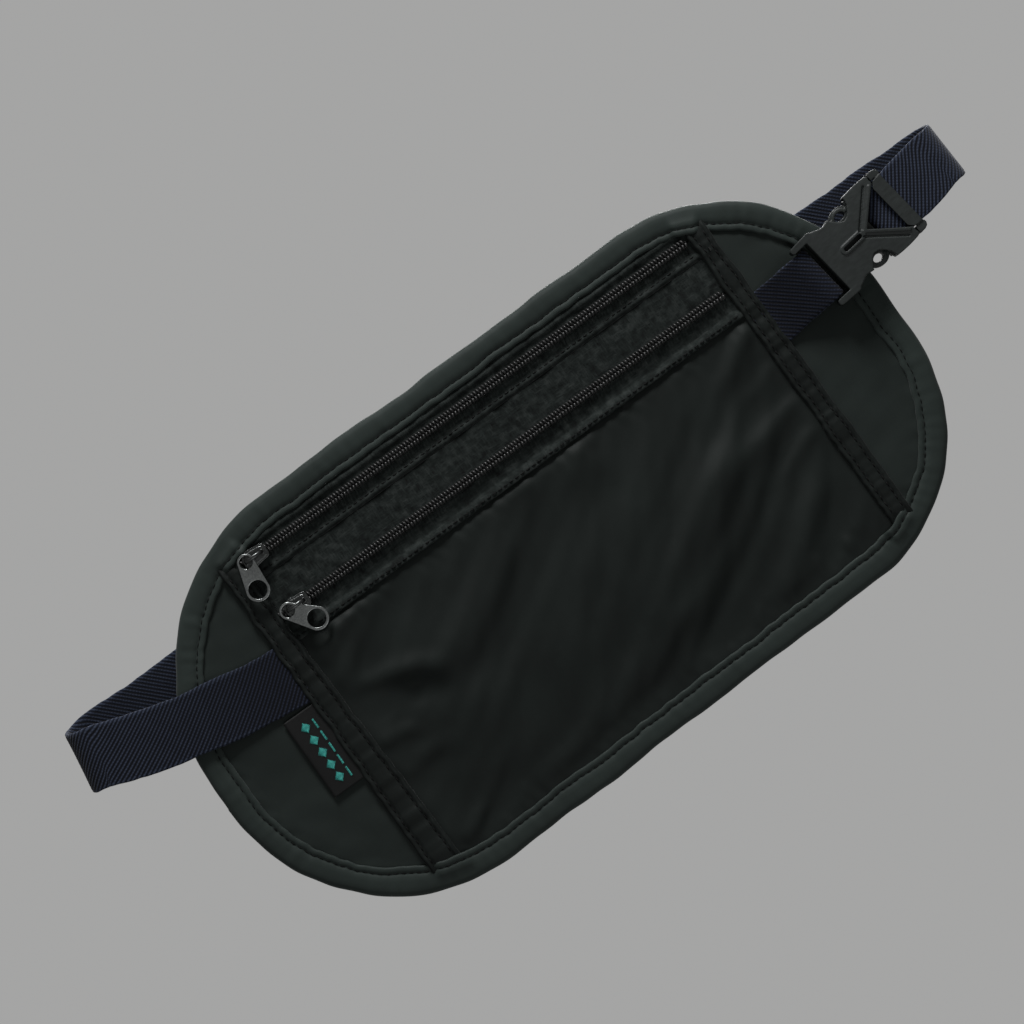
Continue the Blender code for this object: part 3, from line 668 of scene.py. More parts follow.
def ear(name, x_range, node, seed):
    """The single-layer end of the pouch front outside a band."""
    x, z, depth, faces = clipped_grid(x_range, (-82, 80), 1.1)
    clear = smooth((depth - BINDING_WIDTH + 1) / 6)
    y = -3.15 - clear * (0.13 * ripples(x, z, 34, seed) + 0.06 * ripples(x, z, 12, seed + 1) + 0.12)
    pull = 0.10 * ripples(x, z, 7, seed + 2, heading=math.radians(60), spread=0.5)
    y -= pull * smooth(1 - np.abs(depth - BINDING_WIDTH) / 4)
    piece = add_mesh(name, np.stack([x, y, z], axis=1), faces, NYLON)
    settle(thicken(piece), "root", "nylon_fabric", node)


def back_panel():
    """Rear wall against the waist: two plies of soft cloth, faintly quilted by the seams through it."""
    x, z, depth, faces = clipped_grid((-144, 144), (-82, 80), 1.5)
    clear = smooth((depth - BINDING_WIDTH) / 7)
    y = -0.95 + 0.55 * clear + clear * (0.10 * ripples(x, z, 40, 21) + 0.05 * ripples(x, z, 13, 22))
    for seam in BAND_SEAMS:
        y -= 0.16 * bump(x, seam, 1.1) * clear
    piece = add_mesh("back_panel_cloth", np.stack([x, y, z], axis=1), faces, NYLON)
    thicken(piece, 0.6)
    settle(piece, "root", "nylon_fabric", "back_panel")
    rows = []
    for seam in BAND_SEAMS:
        top = float(edge_height(seam, BINDING_WIDTH + 0.8, True)[0])
        bottom = float(edge_height(seam, BINDING_WIDTH + 0.8, False)[0])
        rows += stitch_row([(seam, -0.22, bottom), (seam, -0.22, top)], front=1.0, sink=0.02)
    settle(capsules("back_panel_stitches", rows, THREAD), "root", "nylon_fabric")


def zip_line(x, height):
    """Height of a line parallel to the zips at each x."""
    return height + x * math.tan(ZIP_TILT)


def crown(x, z, low, high, rise=42.0):
    """How far a pocket sheet stands out, from 0 at its sewn edges to 1 in the middle."""
    total = np.ones_like(x, dtype=float)
    for distance in (x + 88, 98 - x, z - low, high - z):
        total = total * smooth(distance / rise)
    return total


def pocket_grid(columns, heights, hem):
    """Columns of points from under the lower binding up to a line parallel to the zips."""
    low = edge_height(columns, CLOTH_EDGE, False)
    high = zip_line(columns, hem)
    x, low, high = (np.repeat(part[:, None], len(heights), axis=1) for part in (columns, low, high))
    return x, low + (high - low) * heights[None, :], low, high


def panel_relief(x, z):
    """Folds of the front panel: long soft diagonals, and short pulls at the bands and the hem."""
    folds = [
        ((4, -64), (98, -1), 13, 9.0, 2.4, 0.9), ((-90, 3), (-50, -10), 2, 4.4, 1.4, 0.9),
        ((-64, -14), (4, 25), -3, 6.5, 1.4, 0.8), ((-91, 2), (-48, 30), 2, 4.2, 0.9, 0.7),
        ((-95, 12), (-62, 29), 1, 2.8, 0.6, 0.7), ((-8, 27), (46, 10), 3, 8.0, 0.8, 0.6),
        ((-78, -58), (-22, -12), 4, 8.0, 0.8, 0.6), ((-44, -64), (8, -22), 3, 7.0, 0.8, 0.6),
        ((18, -12), (76, 24), 5, 9.0, 0.8, 0.5), ((52, -64), (96, -28), 3, 6.0, 0.9, 0.7),
        ((102, 27), (76, 9), -2, 3.4, 0.9, 0.7), ((102, -3), (72, -15), -2, 3.2, 0.8, 0.7),
        ((102, -15), (72, -27), -1, 2.8, 0.6, 0.7), ((102, 12), (82, 3), 0, 2.4, 0.5, 0.7),
        ((-92, -34), (-64, -30), 1, 3.2, 0.6, 0.7), ((-92, -20), (-72, -21), 1, 2.6, 0.5, 0.7),
        ((71, -64), (73, -50), 0, 1.7, 0.7, 0.6), ((84, -62), (85, -51), 0, 1.6, 0.6, 0.6),
        ((42, -66), (47, -53), 0, 1.8, 0.4, 0.6), ((-30, -70), (-25, -55), 0, 1.9, 0.45, 0.6),
        ((-62, -70), (-54, -56), 0, 2.0, 0.5, 0.6), ((-84, -68), (-70, -55), 1, 2.2, 0.6, 0.6),
    ]
    total = 0.42 * ripples(x, z, 30, 31, heading=math.radians(133), spread=0.30)
    total += 0.20 * ripples(x, z, 10, 32, heading=math.radians(135), spread=0.25)
    for start, end, bow, width, height, skew in folds:
        total = total + crease(x, z, start, end, bow, width, height * FOLD_HEIGHT, skew)
    return total


def front_panel():
    """Main pocket cloth; the lower zip's tape laps over its top edge."""
    columns = np.linspace(-97, 106, 136)
    heights = np.concatenate([np.linspace(0, 0.955, 66), np.linspace(0.960, 1.0, 11)])
    x, z, low, high = pocket_grid(columns, heights, POCKET_HEM + 1.0)
    bulge = crown(x, z, low + BINDING_WIDTH - CLOTH_EDGE, high - 2.5)
    near = smooth((z - low - 7) / 7) * smooth((high - 3.0 - z) / 4)
    near = near * smooth((x + 91) / 5) * smooth((102 - x) / 5)
    edge_pucker = ripples(x, z, 6, 35, heading=0.0, spread=0.35)
    y = -3.3 - 3.6 * bulge - near * (0.35 + panel_relief(x, z))
    y -= edge_pucker * (0.16 * bump(z - low, 8.5, 3.0) + 0.20 * bump(high - z, 6.0, 3.0))
    y -= 0.12 * near
    piece = add_sheet("front_panel_cloth", x, y, z, PANEL_NYLON)
    settle_cloth(piece, 1 - near.ravel(), x.shape)
    # the panel never sinks into the divider behind it
    places = np.empty(x.size * 3)
    piece.data.vertices.foreach_get("co", places)
    depths = places[1::3] / MM
    places[1::3] = MM * (PANEL_BACK - PANEL_EASE * np.logaddexp(0.0, (PANEL_BACK - depths) / PANEL_EASE))
    piece.data.vertices.foreach_set("co", places)
    piece.data.update()
    modifier = piece.modifiers.new("fine_cloth", "SUBSURF")
    modifier.levels = modifier.render_levels = 1
    apply_modifiers(piece)
    thicken(piece)
    settle(piece, "root", "nylon_fabric", "front_panel")


def settle_cloth(piece, pinned, shape):
    """Lets the panel buckle: its cloth is cut slightly larger than the space it is sewn into."""
    mesh = piece.data
    start = np.empty(len(mesh.vertices) * 3)
    mesh.vertices.foreach_get("co", start)
    start = start.reshape(-1, 3)
    piece.shape_key_add(name="sewn")
    cut = piece.shape_key_add(name="cut")
    larger = start.copy()
    larger[:, 0] += (start[:, 0] + start[:, 2] * 0.6) * CLOTH_EXCESS
    larger[:, 2] += (start[:, 2] + start[:, 0] * 0.35) * CLOTH_EXCESS
    cut.data.foreach_set("co", larger.ravel())
    cut.value = 0.0
    group = piece.vertex_groups.new(name="sewn")
    for index, weight in enumerate(pinned):
        if weight > 0.02:
            group.add([index], float(weight), "REPLACE")
    cloth = piece.modifiers.new("cloth", "CLOTH")
    settings = cloth.settings
    settings.quality = 7
    settings.mass = 0.12
    settings.tension_stiffness = 18
    settings.compression_stiffness = 18
    settings.shear_stiffness = 6
    settings.bending_stiffness = 0.6
    settings.vertex_group_mass = "sewn"
    settings.pin_stiffness = 1
    settings.rest_shape_key = cut
    settings.use_pressure = True
    settings.uniform_pressure_force = 0.04
    settings.effector_weights.gravity = 0.12
    cloth.collision_settings.use_collision = False
    cloth.collision_settings.use_self_collision = False
    scene = bpy.context.scene
    scene.frame_start, scene.frame_end = 1, SIMULATED_FRAMES
    for step in range(1, SIMULATED_FRAMES + 1):
        scene.frame_set(step)
    bpy.context.view_layer.update()
    evaluated = piece.evaluated_get(bpy.context.evaluated_depsgraph_get())
    settled = np.empty(len(mesh.vertices) * 3)
    evaluated.data.vertices.foreach_get("co", settled)
    scene.frame_set(1)
    piece.modifiers.clear()
    piece.shape_key_clear()
    moved = (settled.reshape(-1, 3) - start).reshape(*shape, 3)
    moved = softened(softened(moved, 4).transpose(1, 0, 2), 4).transpose(1, 0, 2).reshape(-1, 3)
    size = np.linalg.norm(moved, axis=1)[:, None]
    moved /= np.sqrt(1 + (size / (CLOTH_TRAVEL * MM)) ** 2)
    moved *= (1 - pinned)[:, None]
    mesh.vertices.foreach_set("co", (start + moved).ravel())
    mesh.update()


def pocket_divider():
    """Inner sheet between the two pockets."""
    columns = np.linspace(-95, 104, 90)
    heights = np.linspace(0, 1, 56)
    x, z, low, _ = pocket_grid(columns, heights, TAPE_SEAM - 1.0)
    bulge = crown(x, z, low + BINDING_WIDTH - CLOTH_EDGE, zip_line(x, POCKET_HEM) - 5)
    y = -1.75 - 0.35 * bulge - 0.15 * bulge * ripples(x, z, 32, 41, heading=math.radians(130), spread=0.4)
    piece = add_sheet("pocket_divider_cloth", x, y, z, NYLON)
    thicken(piece)
    settle(piece, "root", "nylon_fabric", "pocket_divider")


# ---------------------------------------------------------------- bands and tag

def band(name, edges, node):
    """An upright strip with turned-in edges, sewn down by a row of stitches near each edge."""
    keys = ("outer", "inner") if edges["outer"][0] < edges["inner"][0] else ("inner", "outer")
    (left_top, left_low), (right_top, right_low) = edges[keys[0]], edges[keys[1]]
    top = float(edge_height((left_top + right_top) / 2, 6.2, True)[0])
    bottom = float(edge_height((left_low + right_low) / 2, 6.2, False)[0])
    z = np.arange(bottom, top, 0.5)
    share = (z - bottom) / (top - bottom)
    wander = 0.16 * line_ripples(z, 13, len(name)) + 0.10 * line_ripples(z, 5, len(name) + 1)
    left = left_low + (left_top - left_low) * share + wander
    right = right_low + (right_top - right_low) * share - wander * 0.8
    width = right - left
    row = 2.1
    marks = [0.0, 0.02, 0.35, 0.9, row - 0.55, row, row + 0.6, row + 1.5]
    heights = [-3.55, -4.3, -5.2, -5.5, -5.3, -4.95, -5.25, -5.42]
    swell = line_ripples(z, 9, len(name) + 2) + 0.6 * line_ripples(z, 4, len(name) + 3)
    dimple = stitch_dimples(z - bottom)
    ends = smooth(share * (top - bottom) / 5) * smooth((1 - share) * (top - bottom) / 5)
    count = 2 * len(marks) + 5
    rows = np.zeros((len(z), count, 3))
    for k, (mark, height) in enumerate(zip(marks, heights)):
        height = height - 0.13 * swell * (k > 2) + (0.3 * dimple if mark == row else 0)
        flat = -3.5 + (height + 3.5) * (0.45 + 0.55 * ends)
        for column, x in ((k, left + mark), (2 * len(marks) - 1 - k, right - mark)):
            rows[:, column] = np.stack([x, flat, z], axis=1)
    for k in range(5):
        x = right - 0.3 - (width - 0.6) * k / 4
        rows[:, 2 * len(marks) + k] = np.stack([x, np.full(len(z), -3.45), z], axis=1)
    piece = swept(name, rows, BAND_NYLON, False)
    settle(piece, "root", "nylon_fabric", node)
    stitches = []
    inside = (z > bottom + 4.5) & (z < top - 4.5)
    for x in (left + row, right - row):
        line = np.stack([x, -4.9 - 0.13 * swell, z], axis=1)[inside]
        stitches += stitch_row(line, radius=0.25, sink=0.05)
    settle(capsules(name + "_stitches", stitches, THREAD), "root", "nylon_fabric")


def label_tag():
    """Folded woven tag with a plain row of diamonds and bars worked in teal thread."""
    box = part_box("label_tag")
    low, high = (tuple(value / MM for value in corner) for corner in box)
    xs = np.linspace(low[0], high[0], 34)
    zs = np.linspace(low[2], high[2], 60)
    x, z = np.meshgrid(xs, zs, indexing="ij")
    share = (high[0] - x) / (high[0] - low[0])
    lift = 0.5 * share ** 2 + 0.12 * ripples(x, z, 16, 51) * share
    loops = []
    for front in (True, False):
        y = np.full_like(x, -4.55 if front else -3.95) - lift
        y += 0.25 * smooth(1 - (x - low[0]) / 0.7) * (1 if front else -1)
        loops.append(np.stack([x, y, z], axis=2).reshape(-1, 3))
    rows, columns = x.shape
    front_faces = grid_faces(rows, columns, flip=True)
    back_faces = grid_faces(rows, columns) + rows * columns
    border = ([c for c in range(columns)] + [r * columns + columns - 1 for r in range(1, rows)]
              + [(rows - 1) * columns + c for c in reversed(range(columns - 1))]
              + [r * columns for r in reversed(range(1, rows - 1))])
    sides = [(a, b, b + rows * columns, a + rows * columns) for a, b in zip(border, border[1:] + border[:1])]
    faces = front_faces.tolist() + back_faces.tolist() + sides
    piece = face_outwards(add_mesh("label_tag_cloth", np.vstack(loops), faces, TAG))
    settle(piece, "root", "tag_fabric", "label_tag")

    def surface(px, pz):
        part = (high[0] - px) / (high[0] - low[0])
        wave = float(ripples(np.array([px]), np.array([pz]), 16, 51)[0])
        return -4.6 - (0.5 * part ** 2 + 0.12 * wave * part)

    threads = []
    middle = low[0] + 5.6
    for number in range(5):
        centre = low[2] + 5.2 + number * 5.1
        for k in range(-5, 6):
            half = 1.9 * (1 - abs(k) / 5.6)
            height = centre + k * 0.36
            threads.append(((middle - half, surface(middle - half, height), height),
                            (middle, surface(middle, height) - 0.12, height),
                            (middle + half, surface(middle + half, height), height), 0.17))
    for k in range(58):
        height = low[2] + 3.2 + k * 0.42
        if k % 12 < 9:
            start, end = middle + 3.3, middle + 4.1
            threads.append(((start, surface(start, height), height),
                            ((start + end) / 2, surface(end, height) - 0.1, height),
                            (end, surface(end, height), height), 0.16))
    settle(capsules("label_tag_motif", threads, TEAL, cuts=4), "root", "tag_fabric")


# ---------------------------------------------------------------- zips

def tilted(x, z):
    """A point of the upright zip drawing, turned with the zips about the pouch's middle."""
    c, s = math.cos(ZIP_TILT), math.sin(ZIP_TILT)
    return x * c - z * s, x * s + z * c


def tape(name, low, high, node, fold=None, seed=0, lap=0.0):
    """A strip of zip tape: fold places a raised welt, and below lap it lies over the panel."""
    xs = np.arange(TAPE_X[0], TAPE_X[1], 0.9)
    zs = np.linspace(low, high, max(int((high - low) / 0.45), 8))
    x, z = np.meshgrid(xs, zs, indexing="ij")
    y = -3.2 - 0.10 * ripples(x, z, 14, seed) - 0.06 * ripples(x, z, 5, seed + 1)
    if fold is not None:
        y -= 0.75 * smooth(1 - np.abs(z - fold[0]) / fold[1])
    y = np.minimum(y, -3.02) - 1.25 * smooth((lap + 1.6 - z) / 2.4)
    px, pz = tilted(x, z)
    piece = add_sheet(name, px, y, pz, TAPE_CLOTH)
    thicken(piece)
    settle(piece, "root", "zip_tape_fabric", node)


def zip_tapes():
    """The four tapes, and the two rows of stitches that hold them."""
    tape("upper_tape_top", ZIP_Z["upper"] + 0.3, 69.6, "zip_upper_tape_top", (65.0, 1.8), 61)
    tape("upper_tape_bottom", TAPE_SEAM - 0.4, ZIP_Z["upper"] - 0.3, "zip_upper_tape_bottom", (54.3, 1.6), 63)
    tape("lower_tape_top", ZIP_Z["lower"] + 0.3, TAPE_SEAM - 0.6, "zip_lower_tape_top", None, 65)
    tape("lower_tape_bottom", POCKET_HEM - 2.3, ZIP_Z["lower"] - 0.3, "zip_lower_tape_bottom", None, 67,
         POCKET_HEM)
    rows = []
    for height, depth in ((55.2, -3.75), (POCKET_HEM - 1.0, -4.7)):
        line = []
        for place in np.linspace(-91, 99, 30):
            x, z = tilted(place, height)
            line.append((x, depth, z))
        rows += stitch_row(line, pitch=2.4, sink=0.05)
    settle(capsules("zip_tape_stitches", rows, THREAD), "root", "zip_tape_fabric")


def zip_coils():
    """Each row of teeth is one coiled filament: slanted loops that hook past the middle."""
    for zip_name, height in ZIP_Z.items():
        for side, sign in (("top", 1), ("bottom", -1)):
            teeth = []
            count = int((COIL_X[1] - COIL_X[0]) / TOOTH_PITCH)
            for number in range(count):
                place = COIL_X[0] + (number + (0.25 if sign > 0 else 0.75)) * TOOTH_PITCH
                outer = tilted(place - 0.30, height + sign * 1.95)
                middle = tilted(place + 0.05, height + sign * 1.0)
                inner = tilted(place + 0.42, height - sign * 0.12)
                teeth.append(((outer[0], -3.75, outer[1]), (middle[0], -5.75, middle[1]),
                              (inner[0], -4.35, inner[1]), 0.40))
                teeth.append(((inner[0] - 0.1, -4.3, inner[1]), (inner[0], -4.6, inner[1]),
                              (inner[0] + 0.25, -4.2, inner[1] - sign * 0.1), 0.36))
            cord = []
            steps = int((COIL_X[1] - COIL_X[0]) / THREAD_STEP)
            for step in range(steps):
                a = tilted(COIL_X[0] + step * THREAD_STEP, height + sign * 1.45)
                b = tilted(COIL_X[0] + (step + 1) * THREAD_STEP, height + sign * 1.45)
                cord.append(((a[0], -4.72, a[1]), ((a[0] + b[0]) / 2, -4.95, (a[1] + b[1]) / 2),
                             (b[0], -4.72, b[1]), 0.17))
            node = f"zip_{zip_name}_coil_{side}"
            settle(capsules(node + "_teeth", teeth, COIL, sides=7, cuts=6), "root", "zip_coil", node)
            settle(capsules(node + "_thread", cord, THREAD, sides=5, cuts=4), "root", "zip_tape_fabric")


# ---------------------------------------------------------------- moulded and cast pieces

def copy_of(node, name, finish):
    """A new piece with the CAD node's shape."""
    mesh = NODES[node].data.copy()
    mesh.materials.clear()
    mesh.materials.append(finish)
    shape = bmesh.new()
    shape.from_mesh(mesh)
    bmesh.ops.remove_doubles(shape, verts=shape.verts, dist=1e-6)
    shape.to_mesh(mesh)
    shape.free()
    return link(name, mesh)


def fused(piece, voxel, passes):
    """Remeshed to small even faces and eased, so that every edge has the radius of a moulding."""
    modifier = piece.modifiers.new("remesh", "REMESH")
    modifier.mode = "VOXEL"
    modifier.voxel_size = voxel * MM
    modifier.adaptivity = 0.0
    ease = piece.modifiers.new("ease", "SMOOTH")
    ease.factor = 0.5
    ease.iterations = passes
    apply_modifiers(piece)
    piece.data.shade_smooth()


def prism(name, outline, depth, place):
    """A closed prism used as a cutter or an addition; place maps its own (x, y, z) to the pouch."""
    low, high = depth
    count = len(outline)
    points = [place(x, low, z) for x, z in outline] + [place(x, high, z) for x, z in outline]
    faces = [list(range(count)), [count + k for k in reversed(range(count))]]
    faces += [[(k + 1) % count, k, count + k, count + (k + 1) % count] for k in range(count)]
    return face_outwards(add_mesh(name, points, faces, ACETAL))


def combine(piece, operation, other):
    """Adds another solid to a piece or cuts it away, and removes the other."""
    modifier = piece.modifiers.new(operation.lower(), "BOOLEAN")
    modifier.operation = operation
    modifier.object = other
    modifier.solver = "EXACT"
    apply_modifiers(piece)
    bpy.data.objects.remove(other, do_unlink=True)


def on_buckle(x, y, z=0.0):
    """A point of the buckle's own frame in the pouch's."""
    c, s = math.cos(BUCKLE_TILT), math.sin(BUCKLE_TILT)
    return (BUCKLE_START[0] + x * c - z * s, BUCKLE_START[1] + y, BUCKLE_START[2] + x * s + z * c)


def bar_outline(start, end, half):
    """A straight bar with round ends between two points."""
    (ax, az), (bx, bz) = start, end
    angle = math.atan2(bz - az, bx - ax)
    points = []
    for x, z, quarter in ((ax, az, math.pi / 2), (bx, bz, -math.pi / 2)):
        for step in range(9):
            turn = angle + quarter + math.pi * step / 8
            points.append((x + half * math.cos(turn), z + half * math.sin(turn)))
    return points


def raised_bar(name, start, end, half, depth):
    """A bar with round ends on the buckle, between two depths."""
    return prism(name, bar_outline(start, end, half), depth, on_buckle)


def buckle_female():
    """Housing, with the raised rims round its slot and its notch that the moulding shows."""
    piece = copy_of("buckle_female", "buckle_female_moulding", ACETAL)
    # on each side: the window, the raised rim along the notch, and the rounded ends of the wall
    for sign in (-1, 1):
        window = [(15.7, sign * 15), (16.6, sign * 11.2), (18.9, sign * 8.4), (20.4, sign * 7.6),
                  (22.2, sign * 8.0), (25.0, sign * 11.0), (26.0, sign * 15)]
        combine(piece, "DIFFERENCE", prism("window", window, (-6, 6), on_buckle))
        for bar in (("rim", (23.2, 0.0), (34.8, sign * 10.1), 0.6, (-4.15, -3.2)),
                    ("horn", (0.9, sign * 12.0), (8.0, sign * 12.35), 1.15, (-3.75, 3.4)),
                    ("corner", (30.5, sign * 12.75), (35.3, sign * 12.7), 1.15, (-3.7, 3.6))):
            combine(piece, "UNION", raised_bar(*bar))
    combine(piece, "UNION", raised_bar("slot_rim", (13.9, 0.0), (21.2, 0.0), 1.75, (-4.1, -3.2)))
    combine(piece, "DIFFERENCE", raised_bar("slot", (14.2, 0.0), (20.6, 0.0), 0.78, (-6, -2.2)))
    # a groove just outside each rim
    for sign in (-1, 1):
        groove = raised_bar("groove", (21.6, sign * 1.1), (33.3, sign * 11.5), 0.36, (-6, -3.1))
        combine(piece, "DIFFERENCE", groove)
    fused(piece, 0.17, 12)
    # the flat faces swell a little towards the middle of the housing
    shape = piece.data
    count = len(shape.vertices)
    points = np.empty(count * 3)
    shape.vertices.foreach_get("co", points)
    points = points.reshape(-1, 3) / MM
    c, s = math.cos(BUCKLE_TILT), math.sin(BUCKLE_TILT)
    local_x = (points[:, 0] - BUCKLE_START[0]) * c + (points[:, 2] - BUCKLE_START[2]) * s
    local_z = -(points[:, 0] - BUCKLE_START[0]) * s + (points[:, 2] - BUCKLE_START[2]) * c
    local_y = points[:, 1] - BUCKLE_START[1]
    swell = 0.45 * np.clip(1 - (local_z / 13.5) ** 2, 0, 1) * smooth((local_x - 5) / 8)
    points[:, 1] += np.where(local_y < -2.8, -swell, np.where(local_y > 2.8, swell, 0)) - 0.15
    points[:, 1] += 0.8 * smooth((5.5 - local_x) / 6) * np.sign(-local_y) * (np.abs(local_z) > 10.6)
    shape.vertices.foreach_set("co", (points * MM).ravel())
    shape.update()
    settle(piece, "root", "buckle_plastic", "buckle_female")


def buckle_male():
    """Plug frame whose outer bar is a broad ridge between two rounded cheeks."""
    piece = copy_of("buckle_male", "buckle_male_moulding", ACETAL)
    ridge = [(35.3, -8.6), (36.95, -10.6), (40.4, -10.9), (40.4, 10.9), (36.95, 10.6), (35.3, 8.6)]
    parts = [prism("ridge", ridge, (-3.9, -2.5), on_buckle)]
    for sign in (-1, 1):
        cheek = [(36.75, sign * 11.2), (40.8, sign * 11.2), (40.9, sign * 12.2), (40.3, sign * 13.2),
                 (39.2, sign * 13.7), (36.75, sign * 13.85)]
        parts.append(prism("cheek", cheek, (-3.5, 2.7), on_buckle))
    whole = joined("buckle_male_moulding", [piece, *parts], ACETAL)
    fused(whole, 0.18, 6)
    settle(whole, "buckle_male", "buckle_plastic", "buckle_male")


def latch_arms():
    """The squeezable prongs; each bows out into a rounded button, open in the middle."""
    for name, sign in (("latch_arm_upper", 1), ("latch_arm_lower", -1)):
        piece = copy_of(name, name, ACETAL)
        button = []
        for step in range(17):
            angle = math.pi * step / 16
            button.append((20.9 + 4.1 * math.cos(angle), sign * (9.6 + 3.3 * math.sin(angle))))
        parts = [piece, prism("button", button, (-1.9, 1.9), on_buckle)]
        inner = [(20.9 + (x - 20.9) * 0.7, sign * 9.6 + (z - sign * 9.6) * 0.8) for x, z in button]
        parts.append(prism("button_crown", inner, (-2.3, 2.3), on_buckle))
        eye = [(20.6 + 2.1 * math.cos(turn), sign * (9.75 + 1.35 * math.sin(turn)))
               for turn in (2 * math.pi * step / 24 for step in range(24))]
        for part in parts:
            combine(part, "DIFFERENCE", prism("eye", eye, (-6, 6), on_buckle))
        whole = joined(name + "_prong", parts, ACETAL)
        fused(whole, 0.16, 5)
        settle(whole, name, "buckle_plastic", name)


def slider_centre(zip_name):
    """Where a slider stands on its closed zip."""
    x = SLIDER_X[zip_name]
    return Vector((x, 0, ZIP_Z[zip_name] + x * math.tan(ZIP_TILT)))


def joined(name, parts, finish):
    """Overlapping closed solids as one object, ready to be fused."""
    whole = bmesh.new()
    for part in parts:
        whole.from_mesh(part.data)
        bpy.data.objects.remove(part, do_unlink=True)
    mesh = bpy.data.meshes.new(name)
    whole.to_mesh(mesh)
    whole.free()
    mesh.materials.append(finish)
    return link(name, mesh)


def slider_casting(zip_name):
    """Top plate narrowing to the closed teeth, side flanges, web, back plate and the arched bail."""
    centre = slider_centre(zip_name)
    c, s = math.cos(ZIP_TILT), math.sin(ZIP_TILT)

    def place(along, y, across):
        return (centre.x + along * c - across * s, y, centre.z + along * s + across * c)

    half = [(-4.7, 1.2), (-4.2, 2.2), (-3.0, 3.1), (-1.4, 3.35), (1.4, 2.95), (3.6, 2.75), (4.5, 2.3),
            (4.8, 1.4)]
    shield = [(x, -z) for x, z in half] + [(x, z) for x, z in reversed(half)]
    parts = [prism("plate", shield, (-6.75, -5.65), place)]
    crowned = [(x * 0.8, z * 0.72) for x, z in shield]
    parts.append(prism("crowned_plate", crowned, (-6.95, -6.0), place))
    for side in (-1, 1):
        flange = [(-2.6, side * 2.4), (3.6, side * 2.4), (3.6, side * 2.85), (-1.0, side * 3.15),
                  (-2.6, side * 3.05)]
        parts.append(prism("flange", flange, (-6.0, -3.75), place))
    web = [(-3.4, -0.22), (-1.2, -0.22), (-1.2, 0.22), (-3.4, 0.22)]
    parts.append(prism("web", web, (-6.0, -2.5), place))
    back = [(-3.9, -2.5), (3.5, -2.3), (3.5, 2.3), (-3.9, 2.5)]
    parts.append(prism("back", back, (-2.72, -2.28), place))
    arch = catmull([(-3.7, -6.2, 0), (-3.75, -7.6, 0), (-3.55, -8.7, 0), (-2.5, -9.45, 0), (-0.6, -9.7, 0),
                    (1.3, -9.3, 0), (2.6, -8.2, 0), (3.0, -7.0, 0), (3.05, -6.2, 0)], 4)
    rows = []
    for i, point in enumerate(arch):
        ahead = (arch[min(i + 1, len(arch) - 1)] - arch[max(i - 1, 0)]).normalized()
        normal = Vector((-ahead.y, ahead.x, 0))
        row = []
        for turn in range(12):
            angle = 2 * math.pi * turn / 12
            offset = normal * (0.42 * math.sin(angle)) + Vector((0, 0, 0.72 * math.cos(angle)))
            row.append(place(*(point + offset)))
        rows.append(row)
    parts.append(swept("bail", np.array(rows), CAST_METAL, False))
    casting = joined(f"slider_{zip_name}_casting", parts, CAST_METAL)
    fused(casting, 0.11, 5)
    return casting


def zip_hardware():
    """Cast sliders and stamped pull tabs."""
    for zip_name in ZIP_Z:
        body = slider_casting(zip_name)
        settle(body, "slider_" + zip_name, "zip_metal", "slider_" + zip_name)
        tab = copy_of("pull_tab_" + zip_name, f"pull_tab_{zip_name}_stamping", METAL)
        fused(tab, 0.12, 5)
        settle(tab, "pull_tab_" + zip_name, "zip_metal", "pull_tab_" + zip_name)


# ---------------------------------------------------------------- webbing

def half_turn(centre, reach, depth, heights, steps=28):
    """Half an ellipse in plan from the front to the back, climbing between two heights."""
    path = []
    for step in range(steps + 1):
        angle = math.pi * (step / steps - 0.5)
        height = heights[0] + (heights[1] - heights[0]) * step / steps
        x, y = centre[0] + reach * math.cos(angle), centre[1] + depth * math.sin(angle)
        path.append(Vector((x, y, height)))
    return path


